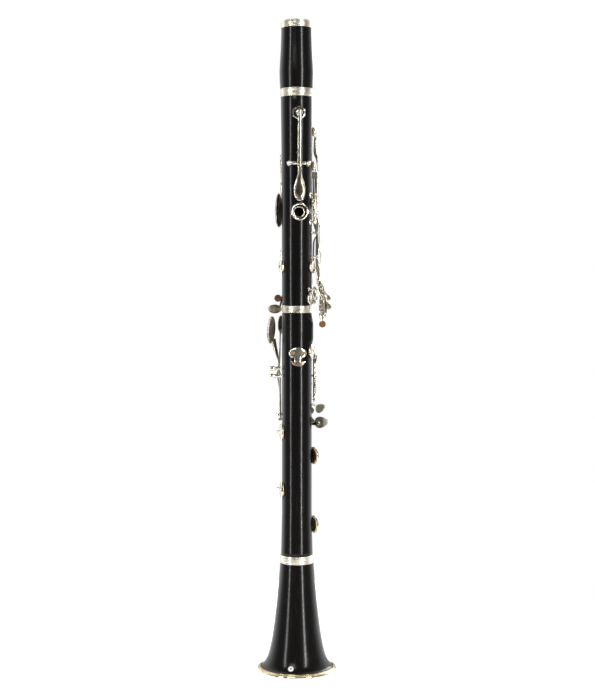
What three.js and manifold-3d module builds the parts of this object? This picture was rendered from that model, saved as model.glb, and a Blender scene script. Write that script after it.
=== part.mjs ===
// A Boehm-system B-flat clarinet without its mouthpiece, standing on its bell.
// Millimetres, +Z up the bore. The thumb side faces -Y and the finger holes face +Y.
// Angles round the body are in degrees: 0 is the thumb side (-Y), 90 is +X, 180 is +Y.
import * as THREE from 'three';
import { mergeVertices } from 'three/addons/utils/BufferGeometryUtils.js';
import Module from 'manifold-3d';

const wasm = await Module();
wasm.setup();

// ---------------------------------------------------------------- driving dimensions

const GAP = 0.3;                 // clearance between pieces that touch
const BORE_R = 7.4;
const BODY_SIDES = 24;           // facets of every turned body piece
const BELL_SIDES = 32;
const CUP_SIDES = 12;
const HOLE_SIDES = 8;

// Heights of the joins between the four body sections.
const TOP = 590;
const BARREL_BOTTOM = 521.9;
const UPPER_BOTTOM = 334.2;
const LOWER_BOTTOM = 106.6;
const TENON = { top: 17, middle: 17.7, bottom: 15 };
const SOCKET_SLACK = 1.1;        // air between a tenon's end and its socket's floor

// Metal ferrules.
const BARREL_RING = 7.5;
const TOP_RING = 6.5;
const MIDDLE_RING = 6.5;
const BELL_RING = 7.4;
const RIM_RING = 3.6;
const RIM_R = 36.7;

// Keywork.
const TUBE_R = 1.45;
const TUBE_BORE = 1.2;
const ROD_R = 0.88;
const POST_BALL = 1.8;
const STRAP = 1.4;               // thickness of a key's arm
const CUP = 3.2;                 // height of a pad and its cup together

const THUMB_LINE = 7.3;          // angle of the register vent and the thumb hole
const SIDE_LINE = 88;            // angle of the side keys' pivots
const RING_LINE = 138;           // angle of the ring keys' hinge tubes
const HAND_LINE = 135;           // angle that the right-hand touches face
const LEFT_LINE = 220;           // angle that the left little finger's touches face

const WOOD = { color: 0x17130f, roughness: 0.3, metalness: 0 };
const SILVER = { color: 0xc9c3b6, roughness: 0.25, metalness: 1 };
const DARK_SILVER = { color: 0x8d877b, roughness: 0.35, metalness: 1 };
const CORK = { color: 0x9c6b42, roughness: 0.9, metalness: 0 };
const PAD_SKIN = { color: 0xd8bd8a, roughness: 0.6, metalness: 0 };
const INLAY = { color: 0xd9d6cd, roughness: 0.4, metalness: 0 };

// ---------------------------------------------------------------- frames of reference

const radians = THREE.MathUtils.degToRad;
const UP = new THREE.Vector3(0, 0, 1);

// Outward direction at an angle round the body, and the direction across it.
const outward = (phi) => new THREE.Vector3(Math.sin(radians(phi)), -Math.cos(radians(phi)), 0);
const across = (phi) => new THREE.Vector3(Math.cos(radians(phi)), Math.sin(radians(phi)), 0);

// A point at an angle, and a point offset sideways from the plane of an angle.
const polar = (phi, r, z) => outward(phi).multiplyScalar(r).setZ(z);
const beside = (phi, u, r, z) => polar(phi, r, z).addScaledVector(across(phi), u);

// Stations of a strap: its centre, the way its flat side faces, its width and thickness.
const on = (phi, r, z, width = 2.8, thick = STRAP) => (
  { point: polar(phi, r, z), facing: outward(phi), width, thick });
const off = (phi, u, r, z, width = 2.8, thick = STRAP) => (
  { point: beside(phi, u, r, z), facing: outward(phi), width, thick });

// A station in plain coordinates, facing an angle.
const free = (x, y, z, width, thick = STRAP, phi = 270) => (
  { point: new THREE.Vector3(x, y, z), facing: outward(phi), width, thick });

// Outer radius of the wood at a height, by straight lines between turned stations.
const WOOD_PROFILE = [
  [106.6, 14.45], [117.7, 14.17], [145, 13.57], [327.1, 13.5], [401.7, 13.67],
  [452, 13.8], [484, 14.06], [521.6, 14.5],
];

function woodRadius(z) {
  const last = WOOD_PROFILE.length - 1;
  const i = WOOD_PROFILE.findIndex(([height], k) => k === last || z <= WOOD_PROFILE[k + 1][0]);
  const [z0, r0] = WOOD_PROFILE[Math.min(i, last - 1)];
  const [z1, r1] = WOOD_PROFILE[Math.min(i + 1, last)];
  return THREE.MathUtils.mapLinear(THREE.MathUtils.clamp(z, z0, z1), z0, z1, r0, r1);
}

// ---------------------------------------------------------------- solids

// A closed geometry as a solid, with shared corners merged and its faces pointing out.
function solid(geometry) {
  const bare = new THREE.BufferGeometry();
  bare.setAttribute('position', geometry.getAttribute('position'));
  if (geometry.index) bare.setIndex(geometry.index);
  const merged = mergeVertices(bare, 1e-4);
  const corners = merged.getAttribute('position').array;
  const index = merged.index.array;
  const triangles = [];
  for (let i = 0; i < index.length; i += 3) {
    const [a, b, c] = [index[i], index[i + 1], index[i + 2]];
    if (a !== b && b !== c && c !== a) triangles.push(a, b, c);
  }
  if (signedVolume(corners, triangles) < 0) triangles.reverse();
  return new wasm.Manifold(new wasm.Mesh({
    numProp: 3,
    vertProperties: new Float32Array(corners),
    triVerts: new Uint32Array(triangles),
  }));
}

function signedVolume(corners, triangles) {
  const at = (k) => new THREE.Vector3().fromArray(corners, 3 * k);
  let volume = 0;
  for (let i = 0; i < triangles.length; i += 3) {
    volume += at(triangles[i]).dot(at(triangles[i + 1]).cross(at(triangles[i + 2])));
  }
  return volume;
}

const join = (pieces) => pieces.reduce((all, piece) => all.add(piece));
const cut = (body, tools) => tools.reduce((left, tool) => left.subtract(tool), body);

// A profile of [radius, height] pairs turned round the Z axis.
function lathe(profile, sides = BODY_SIDES) {
  const points = profile.map(([r, z]) => new THREE.Vector2(r, z));
  return new THREE.LatheGeometry(points, sides).rotateX(Math.PI / 2);
}

// A ring of revolution whose profile closes on itself.
const turnedRing = (profile, sides) => solid(lathe([...profile, profile[0]], sides));

// The same lathe work standing on a point, along any direction.
function turned(profile, base, direction, sides = 12) {
  const geometry = lathe(profile, sides);
  geometry.applyQuaternion(new THREE.Quaternion().setFromUnitVectors(UP, direction));
  return solid(geometry.translate(base.x, base.y, base.z));
}

function cylinder(from, to, radius, sides = 8) {
  const length = from.distanceTo(to);
  const direction = to.clone().sub(from).normalize();
  return turned([[0, 0], [radius, 0], [radius, length], [0, length]], from, direction, sides);
}

// An arm of rectangular section lofted through its stations.
function strap(stations) {
  const corners = [];
  stations.forEach(({ point, facing, width, thick }, i) => {
    const before = stations[Math.max(i - 1, 0)].point;
    const after = stations[Math.min(i + 1, stations.length - 1)].point;
    const along = after.clone().sub(before).normalize();
    const side = along.clone().cross(facing).normalize();
    const face = side.clone().cross(along).normalize();
    for (const [s, f] of [[-1, -1], [1, -1], [1, 1], [-1, 1]]) {
      const corner = point.clone().addScaledVector(side, s * width / 2);
      corners.push(...corner.addScaledVector(face, f * thick / 2).toArray());
    }
  });
  const index = [0, 1, 2, 0, 2, 3];
  for (let i = 0; i < stations.length - 1; i += 1) {
    for (let k = 0; k < 4; k += 1) {
      const [a, b] = [4 * i + k, 4 * i + (k + 1) % 4];
      index.push(a, b + 4, b, a, a + 4, b + 4);
    }
  }
  const end = 4 * (stations.length - 1);
  index.push(end, end + 2, end + 1, end, end + 3, end + 2);
  const geometry = new THREE.BufferGeometry();
  geometry.setAttribute('position', new THREE.Float32BufferAttribute(corners, 3));
  geometry.setIndex(index);
  return solid(geometry);
}

// A flat plate facing outward at an angle, its outline drawn across (x) and up (y).
function plateAt(outline, thick, phi, point) {
  const depth = { depth: thick, bevelEnabled: false, curveSegments: 5 };
  const geometry = new THREE.ExtrudeGeometry(outline, depth);
  const basis = new THREE.Matrix4().makeBasis(across(phi), UP, outward(phi));
  return solid(geometry.applyMatrix4(basis.setPosition(point)));
}

const plate = (outline, thick, phi, u, r, z) => plateAt(outline, thick, phi, beside(phi, u, r, z));

function oval(halfWidth, halfHeight, turn = 0) {
  return new THREE.Shape().absellipse(0, 0, halfWidth, halfHeight, 0, 2 * Math.PI, false, radians(turn));
}

// An oval that is fuller at its inner end and narrows towards its outer one.
function petal(halfWidth, halfHeight, turn) {
  const points = Array.from({ length: 18 }, (_, k) => {
    const angle = (2 * Math.PI * k) / 18;
    const height = halfHeight * Math.sin(angle) * (1 + 0.25 * Math.cos(angle));
    return new THREE.Vector2(halfWidth * Math.cos(angle), height)
      .rotateAround(new THREE.Vector2(), radians(turn));
  });
  return new THREE.Shape(points);
}

// A pad seated in its shallow cup, turned as one piece.
function paddedCup(pad) {
  const { r } = pad;
  const profile = [[0, 0], [r, 0], [r, 2.5], [r * 0.7, CUP], [0, CUP]];
  return turned(profile, padBase(pad), outward(pad.phi), CUP_SIDES);
}

// The same cup left empty, and the loose pad that it holds.
function emptyCup(pad) {
  const { r } = pad;
  const lip = r - 0.45;
  const profile = [[0, 2.1], [lip, 2.1], [lip, 0.9], [r, 0.9], [r, 2.5], [r * 0.7, CUP], [0, CUP]];
  return turned(profile, padBase(pad), outward(pad.phi), CUP_SIDES);
}

function loosePad(pad) {
  const r = pad.r - 0.75;
  return turned([[0, 0], [r, 0], [r, 1.8], [0, 1.8]], padBase(pad), outward(pad.phi), CUP_SIDES);
}

// The flat seat round a tone hole, and the underside of the pad that closes it.
const SEAT_EDGE = 0.8;
const seatRadius = ({ z, hole }) => Math.sqrt(woodRadius(z) ** 2 - (hole + SEAT_EDGE) ** 2);
const padBase = (pad) => polar(pad.phi, (pad.base ?? seatRadius(pad)) + GAP, pad.z);
const cupTop = (pad) => (pad.base ?? seatRadius(pad)) + GAP + CUP;

// ---------------------------------------------------------------- tone holes and pads

const PADS = {
  register: { phi: THUMB_LINE, z: 506.5, r: 3.5, hole: 1.3, base: 15.9 },
  throatA: { phi: 180, z: 500, r: 4.6, hole: 2.6 },
  throatGSharp: { phi: 205, z: 463, r: 4.4, hole: 2.6 },
  firstRing: { phi: 172, z: 445.6, r: 4.4, hole: 2.6 },
  secondRing: { phi: 170, z: 376, r: 4.6, hole: 2.8 },
  crossEFlat: { phi: 285, z: 368.9, r: 5.8, hole: 3.4 },
  cSharp: { phi: 60, z: 340.3, r: 5.5, hole: 3.4 },
  side1: { phi: 104, z: 491.5, r: 4.2, hole: 2.4 },
  side2: { phi: 98, z: 460.5, r: 4.5, hole: 2.6 },
  side3: { phi: 84, z: 427, r: 4.5, hole: 2.6 },
  side4: { phi: 75, z: 368.9, r: 5.9, hole: 3.5 },
  lowerRing: { phi: 172, z: 319.4, r: 4.8, hole: 2.9 },
  crossFSharp: { phi: 70, z: 292.7, r: 6.1, hole: 3.7 },
  aFlat: { phi: 276, z: 218.7, r: 7.6, hole: 5.0 },
  f: { phi: 108, z: 196.5, r: 8.0, hole: 5.2 },
  fSharp: { phi: 276, z: 166.1, r: 7.9, hole: 5.2 },
  e: { phi: 108, z: 133, r: 8.0, hole: 5.3 },
};
const LOWER_PADS = ['lowerRing', 'crossFSharp', 'aFlat', 'f', 'fSharp', 'e'];

// Finger holes with raised chimneys. All but the third have a ring round them.
const FINGER_LINE = 180;
const CHIMNEY_R = 5.4;
const CHIMNEY_TOP = 15.6;
const UPPER_FINGERS = [{ z: 428, hole: 3.8 }, { z: 394, hole: 3.9 }, { z: 356.5, hole: 3.6 }];
const LOWER_FINGERS = [{ z: 306, hole: 4.0 }, { z: 281, hole: 4.1 }, { z: 257, hole: 3.7 }];
const RING_INNER = 5.9;
const RING_OUTER = 7.4;
const RING_THICK = 1.4;
const RING_DOWN = CHIMNEY_TOP - RING_THICK + 0.1;   // underside of a ring held down

const THUMB_HOLE = { z: 417.9, hole: 4.1, sleeve: 4.9, flange: 5.5, top: 16 };

// Drill for one tone hole: a flat seat outside and a hole through to the bore.
function toneHole(pad) {
  const seat = turned(
    [[0, 0], [pad.r + 0.5, 0], [pad.r + 0.5, 6], [0, 6]],
    polar(pad.phi, seatRadius(pad), pad.z), outward(pad.phi), CUP_SIDES);
  const hole = cylinder(polar(pad.phi, 4, pad.z), polar(pad.phi, 16, pad.z), pad.hole, HOLE_SIDES);
  return seat.add(hole);
}

const fingerHole = ({ z, hole }) => cylinder(
  polar(FINGER_LINE, 4, z), polar(FINGER_LINE, 18, z), hole, HOLE_SIDES);
const chimney = ({ z }) => cylinder(
  polar(FINGER_LINE, 11, z), polar(FINGER_LINE, CHIMNEY_TOP, z), CHIMNEY_R, CUP_SIDES);

// The space that the wood and its running clearance fill. Posts are trimmed by it.
const woodEnvelope = turned(
  [[0, 100], ...WOOD_PROFILE.map(([z, r]) => [r + GAP, z]), [0, 530]].map(([r, z]) => [r, z - 100]),
  new THREE.Vector3(0, 0, 100), UP, BODY_SIDES);

const standingOnWood = (body) => body.subtract(woodEnvelope);

// ---------------------------------------------------------------- wooden body sections

const CORK_DEPTH = 1.0;
const CORK_PROUD = 0.25;

// A tenon's outline from its end towards its shoulder, with a groove for its cork.
function tenonOutline(r, end, shoulder) {
  const step = Math.sign(shoulder - end);
  const groove = [end + 3 * step, shoulder - 3.4 * step];
  return [
    [r, end], [r, groove[0]], [r - CORK_DEPTH, groove[0]], [r - CORK_DEPTH, groove[1]],
    [r, groove[1]], [r, shoulder],
  ];
}

function tenonCork(r, end, shoulder) {
  const step = Math.sign(shoulder - end);
  const [a, b] = [end + (3 + GAP) * step, shoulder - (3.4 + GAP) * step].sort((p, q) => p - q);
  const inner = r - CORK_DEPTH + GAP;
  const outer = r + CORK_PROUD;
  return turnedRing([[inner, a], [outer, a], [outer, b], [inner, b]]);
}

const TOP_TENON_R = 11.0;
const MIDDLE_TENON_R = 10.9;
const BOTTOM_TENON_R = 11.9;
const socketRadius = (tenon) => tenon + CORK_PROUD + GAP;

const UPPER_SHOULDER = BARREL_BOTTOM - GAP;
const TOP_TENON_END = UPPER_SHOULDER + TENON.top;
const MIDDLE_TENON_END = UPPER_BOTTOM - TENON.middle;
const BOTTOM_TENON_END = LOWER_BOTTOM - TENON.bottom;

function barrel() {
  const bulge = [
    [15.05, 529.7], [15.35, 534.4], [15.64, 543.6], [15.56, 548.2],
    [15.04, 557.3], [14.5, 566.5], [14.19, 575.6], [14.07, 583.2],
  ];
  const socket = socketRadius(TOP_TENON_R);
  const socketFloor = TOP_TENON_END + SOCKET_SLACK;
  const mouthpieceSocket = 11.4;
  const mouthpieceFloor = 573;
  return turnedRing([
    [socket, BARREL_BOTTOM], [13.6, BARREL_BOTTOM], [13.6, 529.7], ...bulge,
    [12.9, 583.2], [12.9, TOP - GAP], [mouthpieceSocket, TOP - GAP],
    [mouthpieceSocket, mouthpieceFloor], [BORE_R, mouthpieceFloor],
    [BORE_R, socketFloor], [socket, socketFloor],
  ]);
}

function upperJoint() {
  const sides = WOOD_PROFILE.filter(([z]) => z > UPPER_BOTTOM && z < UPPER_SHOULDER);
  const blank = turnedRing([
    [BORE_R, MIDDLE_TENON_END],
    ...tenonOutline(MIDDLE_TENON_R, MIDDLE_TENON_END, UPPER_BOTTOM),
    [woodRadius(UPPER_BOTTOM), UPPER_BOTTOM],
    ...sides.map(([z, r]) => [r, z]),
    [woodRadius(UPPER_SHOULDER), UPPER_SHOULDER],
    ...tenonOutline(TOP_TENON_R, TOP_TENON_END, UPPER_SHOULDER).reverse(),
    [BORE_R, TOP_TENON_END],
  ]);
  const vent = cylinder(polar(THUMB_LINE, 4, 506.5), polar(THUMB_LINE, 18, 506.5), 2.5, 10);
  const thumb = cylinder(
    polar(THUMB_LINE, 4, THUMB_HOLE.z), polar(THUMB_LINE, 18, THUMB_HOLE.z),
    THUMB_HOLE.sleeve + GAP, CUP_SIDES);
  const padded = Object.keys(PADS).filter((name) => name !== 'register' && !LOWER_PADS.includes(name));
  return cut(join([blank, ...UPPER_FINGERS.map(chimney)]), [
    vent, thumb, ...UPPER_FINGERS.map(fingerHole), ...padded.map((name) => toneHole(PADS[name])),
  ]);
}

const REST = { phi: 3, z: 291.3 };
const REST_SCREWS = [-4.5, 5.4];   // sideways from the rest's centre line

function lowerJoint() {
  const socket = socketRadius(MIDDLE_TENON_R);
  const socketFloor = MIDDLE_TENON_END - SOCKET_SLACK;
  const ringBottom = UPPER_BOTTOM - GAP - MIDDLE_RING;
  const blank = turnedRing([
    [9.6, BOTTOM_TENON_END],
    ...tenonOutline(BOTTOM_TENON_R, BOTTOM_TENON_END, LOWER_BOTTOM),
    ...WOOD_PROFILE.filter(([z]) => z < 320).map(([z, r]) => [r, z]),
    [13.5, ringBottom - GAP], [12.6, ringBottom - GAP],
    [12.6, UPPER_BOTTOM - GAP], [socket, UPPER_BOTTOM - GAP],
    [socket, socketFloor], [BORE_R, socketFloor], [BORE_R, 170], [8.1, 125],
  ]);
  // The wood is left thicker on the right, where a tone hole's wall needs it.
  const swelling = new THREE.SphereGeometry(1, 12, 8).rotateX(Math.PI / 2).scale(4.2, 5, 15);
  swelling.rotateZ(radians(72 - 90)).translate(...polar(72, 11.1, 311).toArray());
  const screws = REST_SCREWS.map((u) => cylinder(
    beside(REST.phi, u, 10, 291.2), beside(REST.phi, u, 20, 291.2), 1.1, 8));
  const trimmed = solid(swelling).subtract(cylinder(
    new THREE.Vector3(0, 0, 290), new THREE.Vector3(0, 0, 330), socket + 0.4, BODY_SIDES));
  return cut(join([blank, trimmed, ...LOWER_FINGERS.map(chimney)]), [
    ...screws, ...LOWER_FINGERS.map(fingerHole), ...LOWER_PADS.map((name) => toneHole(PADS[name])),
  ]);
}

const BELL_RING_BOTTOM = LOWER_BOTTOM - GAP - BELL_RING;
const INLAY_SPOT = { phi: -10.6, r: 29.4, z: 8.1, radius: 2.6 };
const inlayDirection = outward(INLAY_SPOT.phi).setZ(0.9).normalize();
const inlayPoint = (depth) => polar(INLAY_SPOT.phi, INLAY_SPOT.r, INLAY_SPOT.z)
  .addScaledVector(inlayDirection, -depth);

function bell() {
  const socket = socketRadius(BOTTOM_TENON_R);
  const neck = LOWER_BOTTOM - GAP;
  const flare = [
    [19.58, 53.6], [21.98, 35.3], [23.6, 26.1], [25.7, 16.9], [27.18, 12.4],
    [29.3, 8.2], [31.4, 5.4], [33.3, 4.3],
  ];
  const inside = [
    [32.4, GAP], [28.6, 3.6], [25.2, 8.6], [22.2, 17], [18.4, 35.3], [14.6, 62.7], [9.8, 90.4],
  ];
  const blank = turnedRing([
    [socket, neck], [13.9, neck], [13.9, BELL_RING_BOTTOM - GAP], [15.3, BELL_RING_BOTTOM - GAP],
    [15.87, 90.2], [17.5, 71.9], ...flare, [33.3, GAP],
    ...inside, [socket, 90.4],
  ], BELL_SIDES);
  const pocket = turned(
    [[0, 0], [INLAY_SPOT.radius + GAP, 0], [INLAY_SPOT.radius + GAP, 4], [0, 4]],
    inlayPoint(1.2), inlayDirection, 14);
  return blank.subtract(pocket);
}

const bellInlay = () => turned(
  [[0, 0], [INLAY_SPOT.radius, 0], [INLAY_SPOT.radius, 0.9], [0, 0.9]],
  inlayPoint(0.9), inlayDirection, 14);

// ---------------------------------------------------------------- rings and fittings

// A ferrule, very slightly waisted at mid height.
function ferrule(inner, outer, bottom, height) {
  const middle = bottom + height / 2;
  return turnedRing([
    [inner, bottom], [outer, bottom], [outer - 0.3, middle], [outer, bottom + height],
    [inner, bottom + height],
  ]);
}

const bellRim = () => turnedRing([
  [33.6, 0], [RIM_R, 0], [RIM_R, 2.3], [35.6, RIM_RING], [33.6, RIM_RING + 0.5],
], BELL_SIDES);

function registerVent() {
  const { phi, z } = PADS.register;
  const facing = outward(phi);
  const hexagon = turned([[0, 0], [6.5, 0], [6.5, 4.2], [0, 4.2]], polar(phi, 11.1, z), facing, 6);
  const recess = cylinder(polar(phi, 14.6, z), polar(phi, 16, z), 4.9, CUP_SIDES);
  const flange = standingOnWood(hexagon).subtract(recess);
  const tube = turned([[0, 0], [2.1, 0], [2.1, 7.3], [0, 7.3]], polar(phi, 8.6, z), facing, 10);
  return flange.add(tube).subtract(cylinder(polar(phi, 6, z), polar(phi, 18, z), 1.3, 8));
}

function thumbBush() {
  const { z, hole, sleeve, flange, top } = THUMB_HOLE;
  const collar = standingOnWood(
    cylinder(polar(THUMB_LINE, 11, z), polar(THUMB_LINE, top, z), flange, CUP_SIDES));
  const lining = cylinder(polar(THUMB_LINE, 8.6, z), polar(THUMB_LINE, top - 0.5, z), sleeve, CUP_SIDES);
  return collar.add(lining).subtract(
    cylinder(polar(THUMB_LINE, 6, z), polar(THUMB_LINE, 20, z), hole, CUP_SIDES));
}

// An egg-shaped plate screwed to the back, with a curved hook that rests on the thumb.
function thumbRest() {
  const base = standingOnWood(plate(oval(8, 5.1), 6.8, REST.phi, 0, 9, REST.z));
  const hook = new THREE.Shape();
  hook.moveTo(-6.6, 1.8);
  hook.quadraticCurveTo(0, -1.6, 6.6, 1.8);
  hook.lineTo(6.2, 0.2);
  hook.quadraticCurveTo(0, -5.2, -6.2, 0.2);
  hook.closePath();
  const shelf = plate(hook, 12, REST.phi, 0, 14.4, 282.9);
  const neck = strap([
    off(REST.phi, 0, 15, 289, 7, 1.6), off(REST.phi, 0, 15.2, 285, 6.4, 1.8),
    off(REST.phi, 0, 15.4, 281.4, 6, 2),
  ]);
  const holes = REST_SCREWS.map((u) => cylinder(
    beside(REST.phi, u, 10, 291.2), beside(REST.phi, u, 20, 291.2), 1.1, 8));
  return cut(join([base, standingOnWood(neck), shelf]), holes);
}

function restScrew(u) {
  const from = beside(REST.phi, u, 10.6, 291.2);
  const seat = 16.1 - 10.6;
  const profile = [[0, 0], [0.8, 0], [0.8, seat], [1.5, seat], [1.5, seat + 0.5], [0, seat + 0.8]];
  return turned(profile, from, outward(REST.phi), 10);
}

// ---------------------------------------------------------------- hinges

// A hinge along the bore at an angle, from one height to another.
const lengthwise = (phi, r, low, high) => (
  { from: polar(phi, r, low), to: polar(phi, r, high), down: outward(phi).negate() });

// A hinge across the bore, between two sideways offsets.
const crosswise = (phi, r, z, left, right) => (
  { from: beside(phi, left, r, z), to: beside(phi, right, r, z), down: outward(phi).negate() });

// Ball-headed posts screwed to the wood, joined by the steel rod that they hold.
function posts(hinge, ballRadius = POST_BALL, middles = []) {
  const { from, to, down } = hinge;
  const feet = [from, to, ...middles].map((head) => post(head, down, ballRadius));
  return standingOnWood(join([cylinder(from, to, ROD_R), ...feet]));
}

// One turned post: ball, waist, and the collar where it meets the wood.
function post(head, down, r) {
  const sideways = Math.abs(head.clone().setZ(0).cross(down).z);
  const surface = Math.sqrt(woodRadius(head.z) ** 2 - sideways ** 2);
  const collar = -head.clone().setZ(0).dot(down) - surface - GAP - 0.9;
  const profile = [
    [0, -r], [r * 0.75, -r * 0.7], [r, 0], [r * 0.75, r * 0.7], [1.1, r + 0.2], [1.1, collar],
    [2, collar], [2, collar + 3], [0, collar + 3],
  ];
  return turned(profile, head, down, 8);
}

// A key: its tube with every arm, cup and touch joined to it, then bored for the rod.
// What is drawn closed is swung open by an angle about the hinge.
function key(hinge, { closed = [], resting = [], open = 0 }) {
  const { from, to } = hinge;
  const direction = to.clone().sub(from).normalize();
  const swung = closed.map((piece) => swing(piece, from, direction, open));
  const ends = [from.clone().addScaledVector(direction, -0.4), to.clone().addScaledVector(direction, 0.4)];
  return join([cylinder(from, to, TUBE_R), ...resting, ...swung])
    .subtract(cylinder(...ends, TUBE_BORE));
}

function swing(piece, origin, direction, degrees) {
  if (degrees === 0) return piece;
  const turn = new THREE.Matrix4().makeRotationAxis(direction, radians(degrees));
  const there = new THREE.Matrix4().makeTranslation(origin.x, origin.y, origin.z);
  const back = new THREE.Matrix4().makeTranslation(-origin.x, -origin.y, -origin.z);
  return piece.transform(there.multiply(turn).multiply(back).elements);
}

// Open-standing keys, in degrees about +Z from shut to open.
const OPEN = { thumb: 5.5, ring: -6.5, lowerRing: -6.5, f: 12.5, e: 10.5 };

const finishCup = (pad, lift = 0.1) => on(pad.phi, cupTop(pad) + lift, pad.z, 2.4);

// ---------------------------------------------------------------- upper joint keys

const REGISTER_HINGE = crosswise(THUMB_LINE, 17, 461.4, -5.7, 5.7);
const REGISTER_POSTS = crosswise(THUMB_LINE, 17, 461.4, -8.25, 8.25);

function registerKey() {
  const spoon = new THREE.Shape();
  spoon.moveTo(-1.5, 15.6);
  spoon.bezierCurveTo(-1.7, 9, -5.2, 4, -5.2, -4.6);
  spoon.bezierCurveTo(-5.2, -11.4, -2.6, -14.8, 0, -14.8);
  spoon.bezierCurveTo(2.6, -14.8, 5.2, -11.4, 5.2, -4.6);
  spoon.bezierCurveTo(5.2, 4, 1.7, 9, 1.5, 15.6);
  spoon.closePath();
  const lever = strap([
    off(THUMB_LINE, 0, 18.6, 455.5, 3), off(THUMB_LINE, 0, 17.6, 461.4, 3.2, 1.8),
    off(THUMB_LINE, 0, 18.3, 470, 3.2), off(THUMB_LINE, 0, 19, 490, 3.2),
    off(THUMB_LINE, 0, cupTop(PADS.register) - 0.1, 507.5, 3),
  ]);
  return key(REGISTER_HINGE, {
    closed: [lever, paddedCup(PADS.register), plate(spoon, 1.6, THUMB_LINE, 0, 18, 442.4)],
  });
}

const THUMB_RING_HINGE = lengthwise(61.5, 18.4, 411.4, 431.2);
const THUMB_RING_POSTS = lengthwise(61.5, 18.4, 409.2, 433.4);

function thumbRingKey() {
  const profile = [[6.2, 0], [7.8, 0], [7.8, 1.5], [6.2, 1.5], [6.2, 0]];
  const ring = turned(profile, polar(THUMB_LINE, 14.4, 418.2), outward(THUMB_LINE), 20);
  const arm = strap([
    off(THUMB_LINE, 6.9, 15.2, 418.2, 6.4), on(40, 17.4, 418.2, 2.8), on(61.5, 18.6, 418.2, 2.8),
  ]);
  return key(THUMB_RING_HINGE, { closed: [ring, arm], open: OPEN.thumb });
}

const THROAT_A_HINGE = crosswise(180, 17.6, 474, -3.3, 3.3);
const THROAT_A_POSTS = crosswise(180, 17.6, 474, -5.5, 5.5);

function throatAKey() {
  const lever = strap([
    off(180, 0, 20.6, 464, 4), off(180, 0, 19.4, 470, 3), off(180, 0, 17.9, 474, 3, 1.8),
    off(180, 0, 18.6, 481), off(180, 0, 18.6, 492), off(180, 0, cupTop(PADS.throatA), 500.5),
  ]);
  return key(THROAT_A_HINGE, {
    closed: [lever, paddedCup(PADS.throatA), plate(oval(3.9, 8), 1.5, 180, 0, 20, 460.6)],
  });
}

const THROAT_G_HINGE = lengthwise(230, 18, 411.2, 467.8);
const THROAT_G_POSTS = lengthwise(230, 18, 409, 470);

function throatGSharpKey() {
  const pad = PADS.throatGSharp;
  const toPad = strap([on(230, 18.4, 463), on(217, 18.1, 463), finishCup(pad)]);
  const toTouch = strap([on(230, 18.2, 425, 5), off(233, 4, 16.9, 423, 5), off(233, 7, 15.8, 421, 5)]);
  const leaf = plate(oval(5.3, 15.4), 1.5, 233, 6.4, 15, 420.5);
  return key(THROAT_G_HINGE, { closed: [toPad, paddedCup(pad), toTouch, leaf] });
}

const ringShape = (z) => turned(
  [[RING_INNER, 0], [RING_OUTER, 0], [RING_OUTER, RING_THICK], [RING_INNER, RING_THICK], [RING_INNER, 0]],
  polar(FINGER_LINE, RING_DOWN, z), outward(FINGER_LINE), 18);

// The arm from the ring keys' tube to one ring.
const ringArm = (z) => strap([
  on(RING_LINE, 18.7, z, 3.4), on(149, 18, z, 3), off(FINGER_LINE, -6.6, RING_DOWN + 0.7, z, 4),
]);

const ringPadArm = (pad) => strap([
  on(RING_LINE, 18.9, pad.z), on(155, 18.4, pad.z), finishCup(pad),
]);

const RING_R = 18.6;
const FIRST_RING_HINGE = lengthwise(RING_LINE, RING_R, 418.8, 452.7);
const SECOND_RING_HINGE = lengthwise(RING_LINE, RING_R, 350.2, 414.2);
const UPPER_RING_POSTS = lengthwise(RING_LINE, RING_R, 348, 455);
const UPPER_RING_MIDDLE = polar(RING_LINE, RING_R, 416.5);

function firstRingKey() {
  const pad = PADS.firstRing;
  const z = UPPER_FINGERS[0].z;
  return key(FIRST_RING_HINGE, {
    closed: [ringShape(z), ringArm(z), ringPadArm(pad), paddedCup(pad)], open: OPEN.ring,
  });
}

function secondRingKey() {
  const pad = PADS.secondRing;
  const z = UPPER_FINGERS[1].z;
  const bridge = strap([
    on(RING_LINE, 18.8, 361, 3, 1.8), on(140, 20.6, 356, 3), on(145, 21.6, 350, 3),
    on(152, 20.6, 342.5, 3), on(158, 19.1, 335, 3.4), on(158, 18.8, 324, 3.6),
  ]);
  return key(SECOND_RING_HINGE, {
    closed: [ringShape(z), ringArm(z), ringPadArm(pad), paddedCup(pad)],
    resting: [bridge], open: OPEN.ring,
  });
}

const CROSS_E_FLAT_LINE = 230;
const CROSS_E_FLAT_HINGE = lengthwise(CROSS_E_FLAT_LINE, 17.5, 362.2, 381.8);
const CROSS_E_FLAT_POSTS = lengthwise(CROSS_E_FLAT_LINE, 17.5, 360, 384);

function crossEFlatKey() {
  const pad = PADS.crossEFlat;
  const toPad = strap([
    on(CROSS_E_FLAT_LINE, 17.8, 368.9), on(250, 18.2, 368.9), on(268, 18, 368.9), finishCup(pad),
  ]);
  const toTouch = strap([on(CROSS_E_FLAT_LINE, 17.8, 378), on(219, 18.6, 378), on(210, 18.3, 378)]);
  return key(CROSS_E_FLAT_HINGE, {
    closed: [toPad, paddedCup(pad), toTouch, plate(oval(4.4, 2.5), 1.4, 205, 0, 17.5, 378)],
  });
}

const C_SHARP_HINGE = lengthwise(112, 17.6, 339.2, 347.3);
const C_SHARP_POSTS = lengthwise(112, 17.6, 337, 349.5);
const C_SHARP_CORK = { from: [-17.3, 5.6, 340.6], to: [-17.3, 9.6, 340.6], radius: 3.4 };

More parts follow.
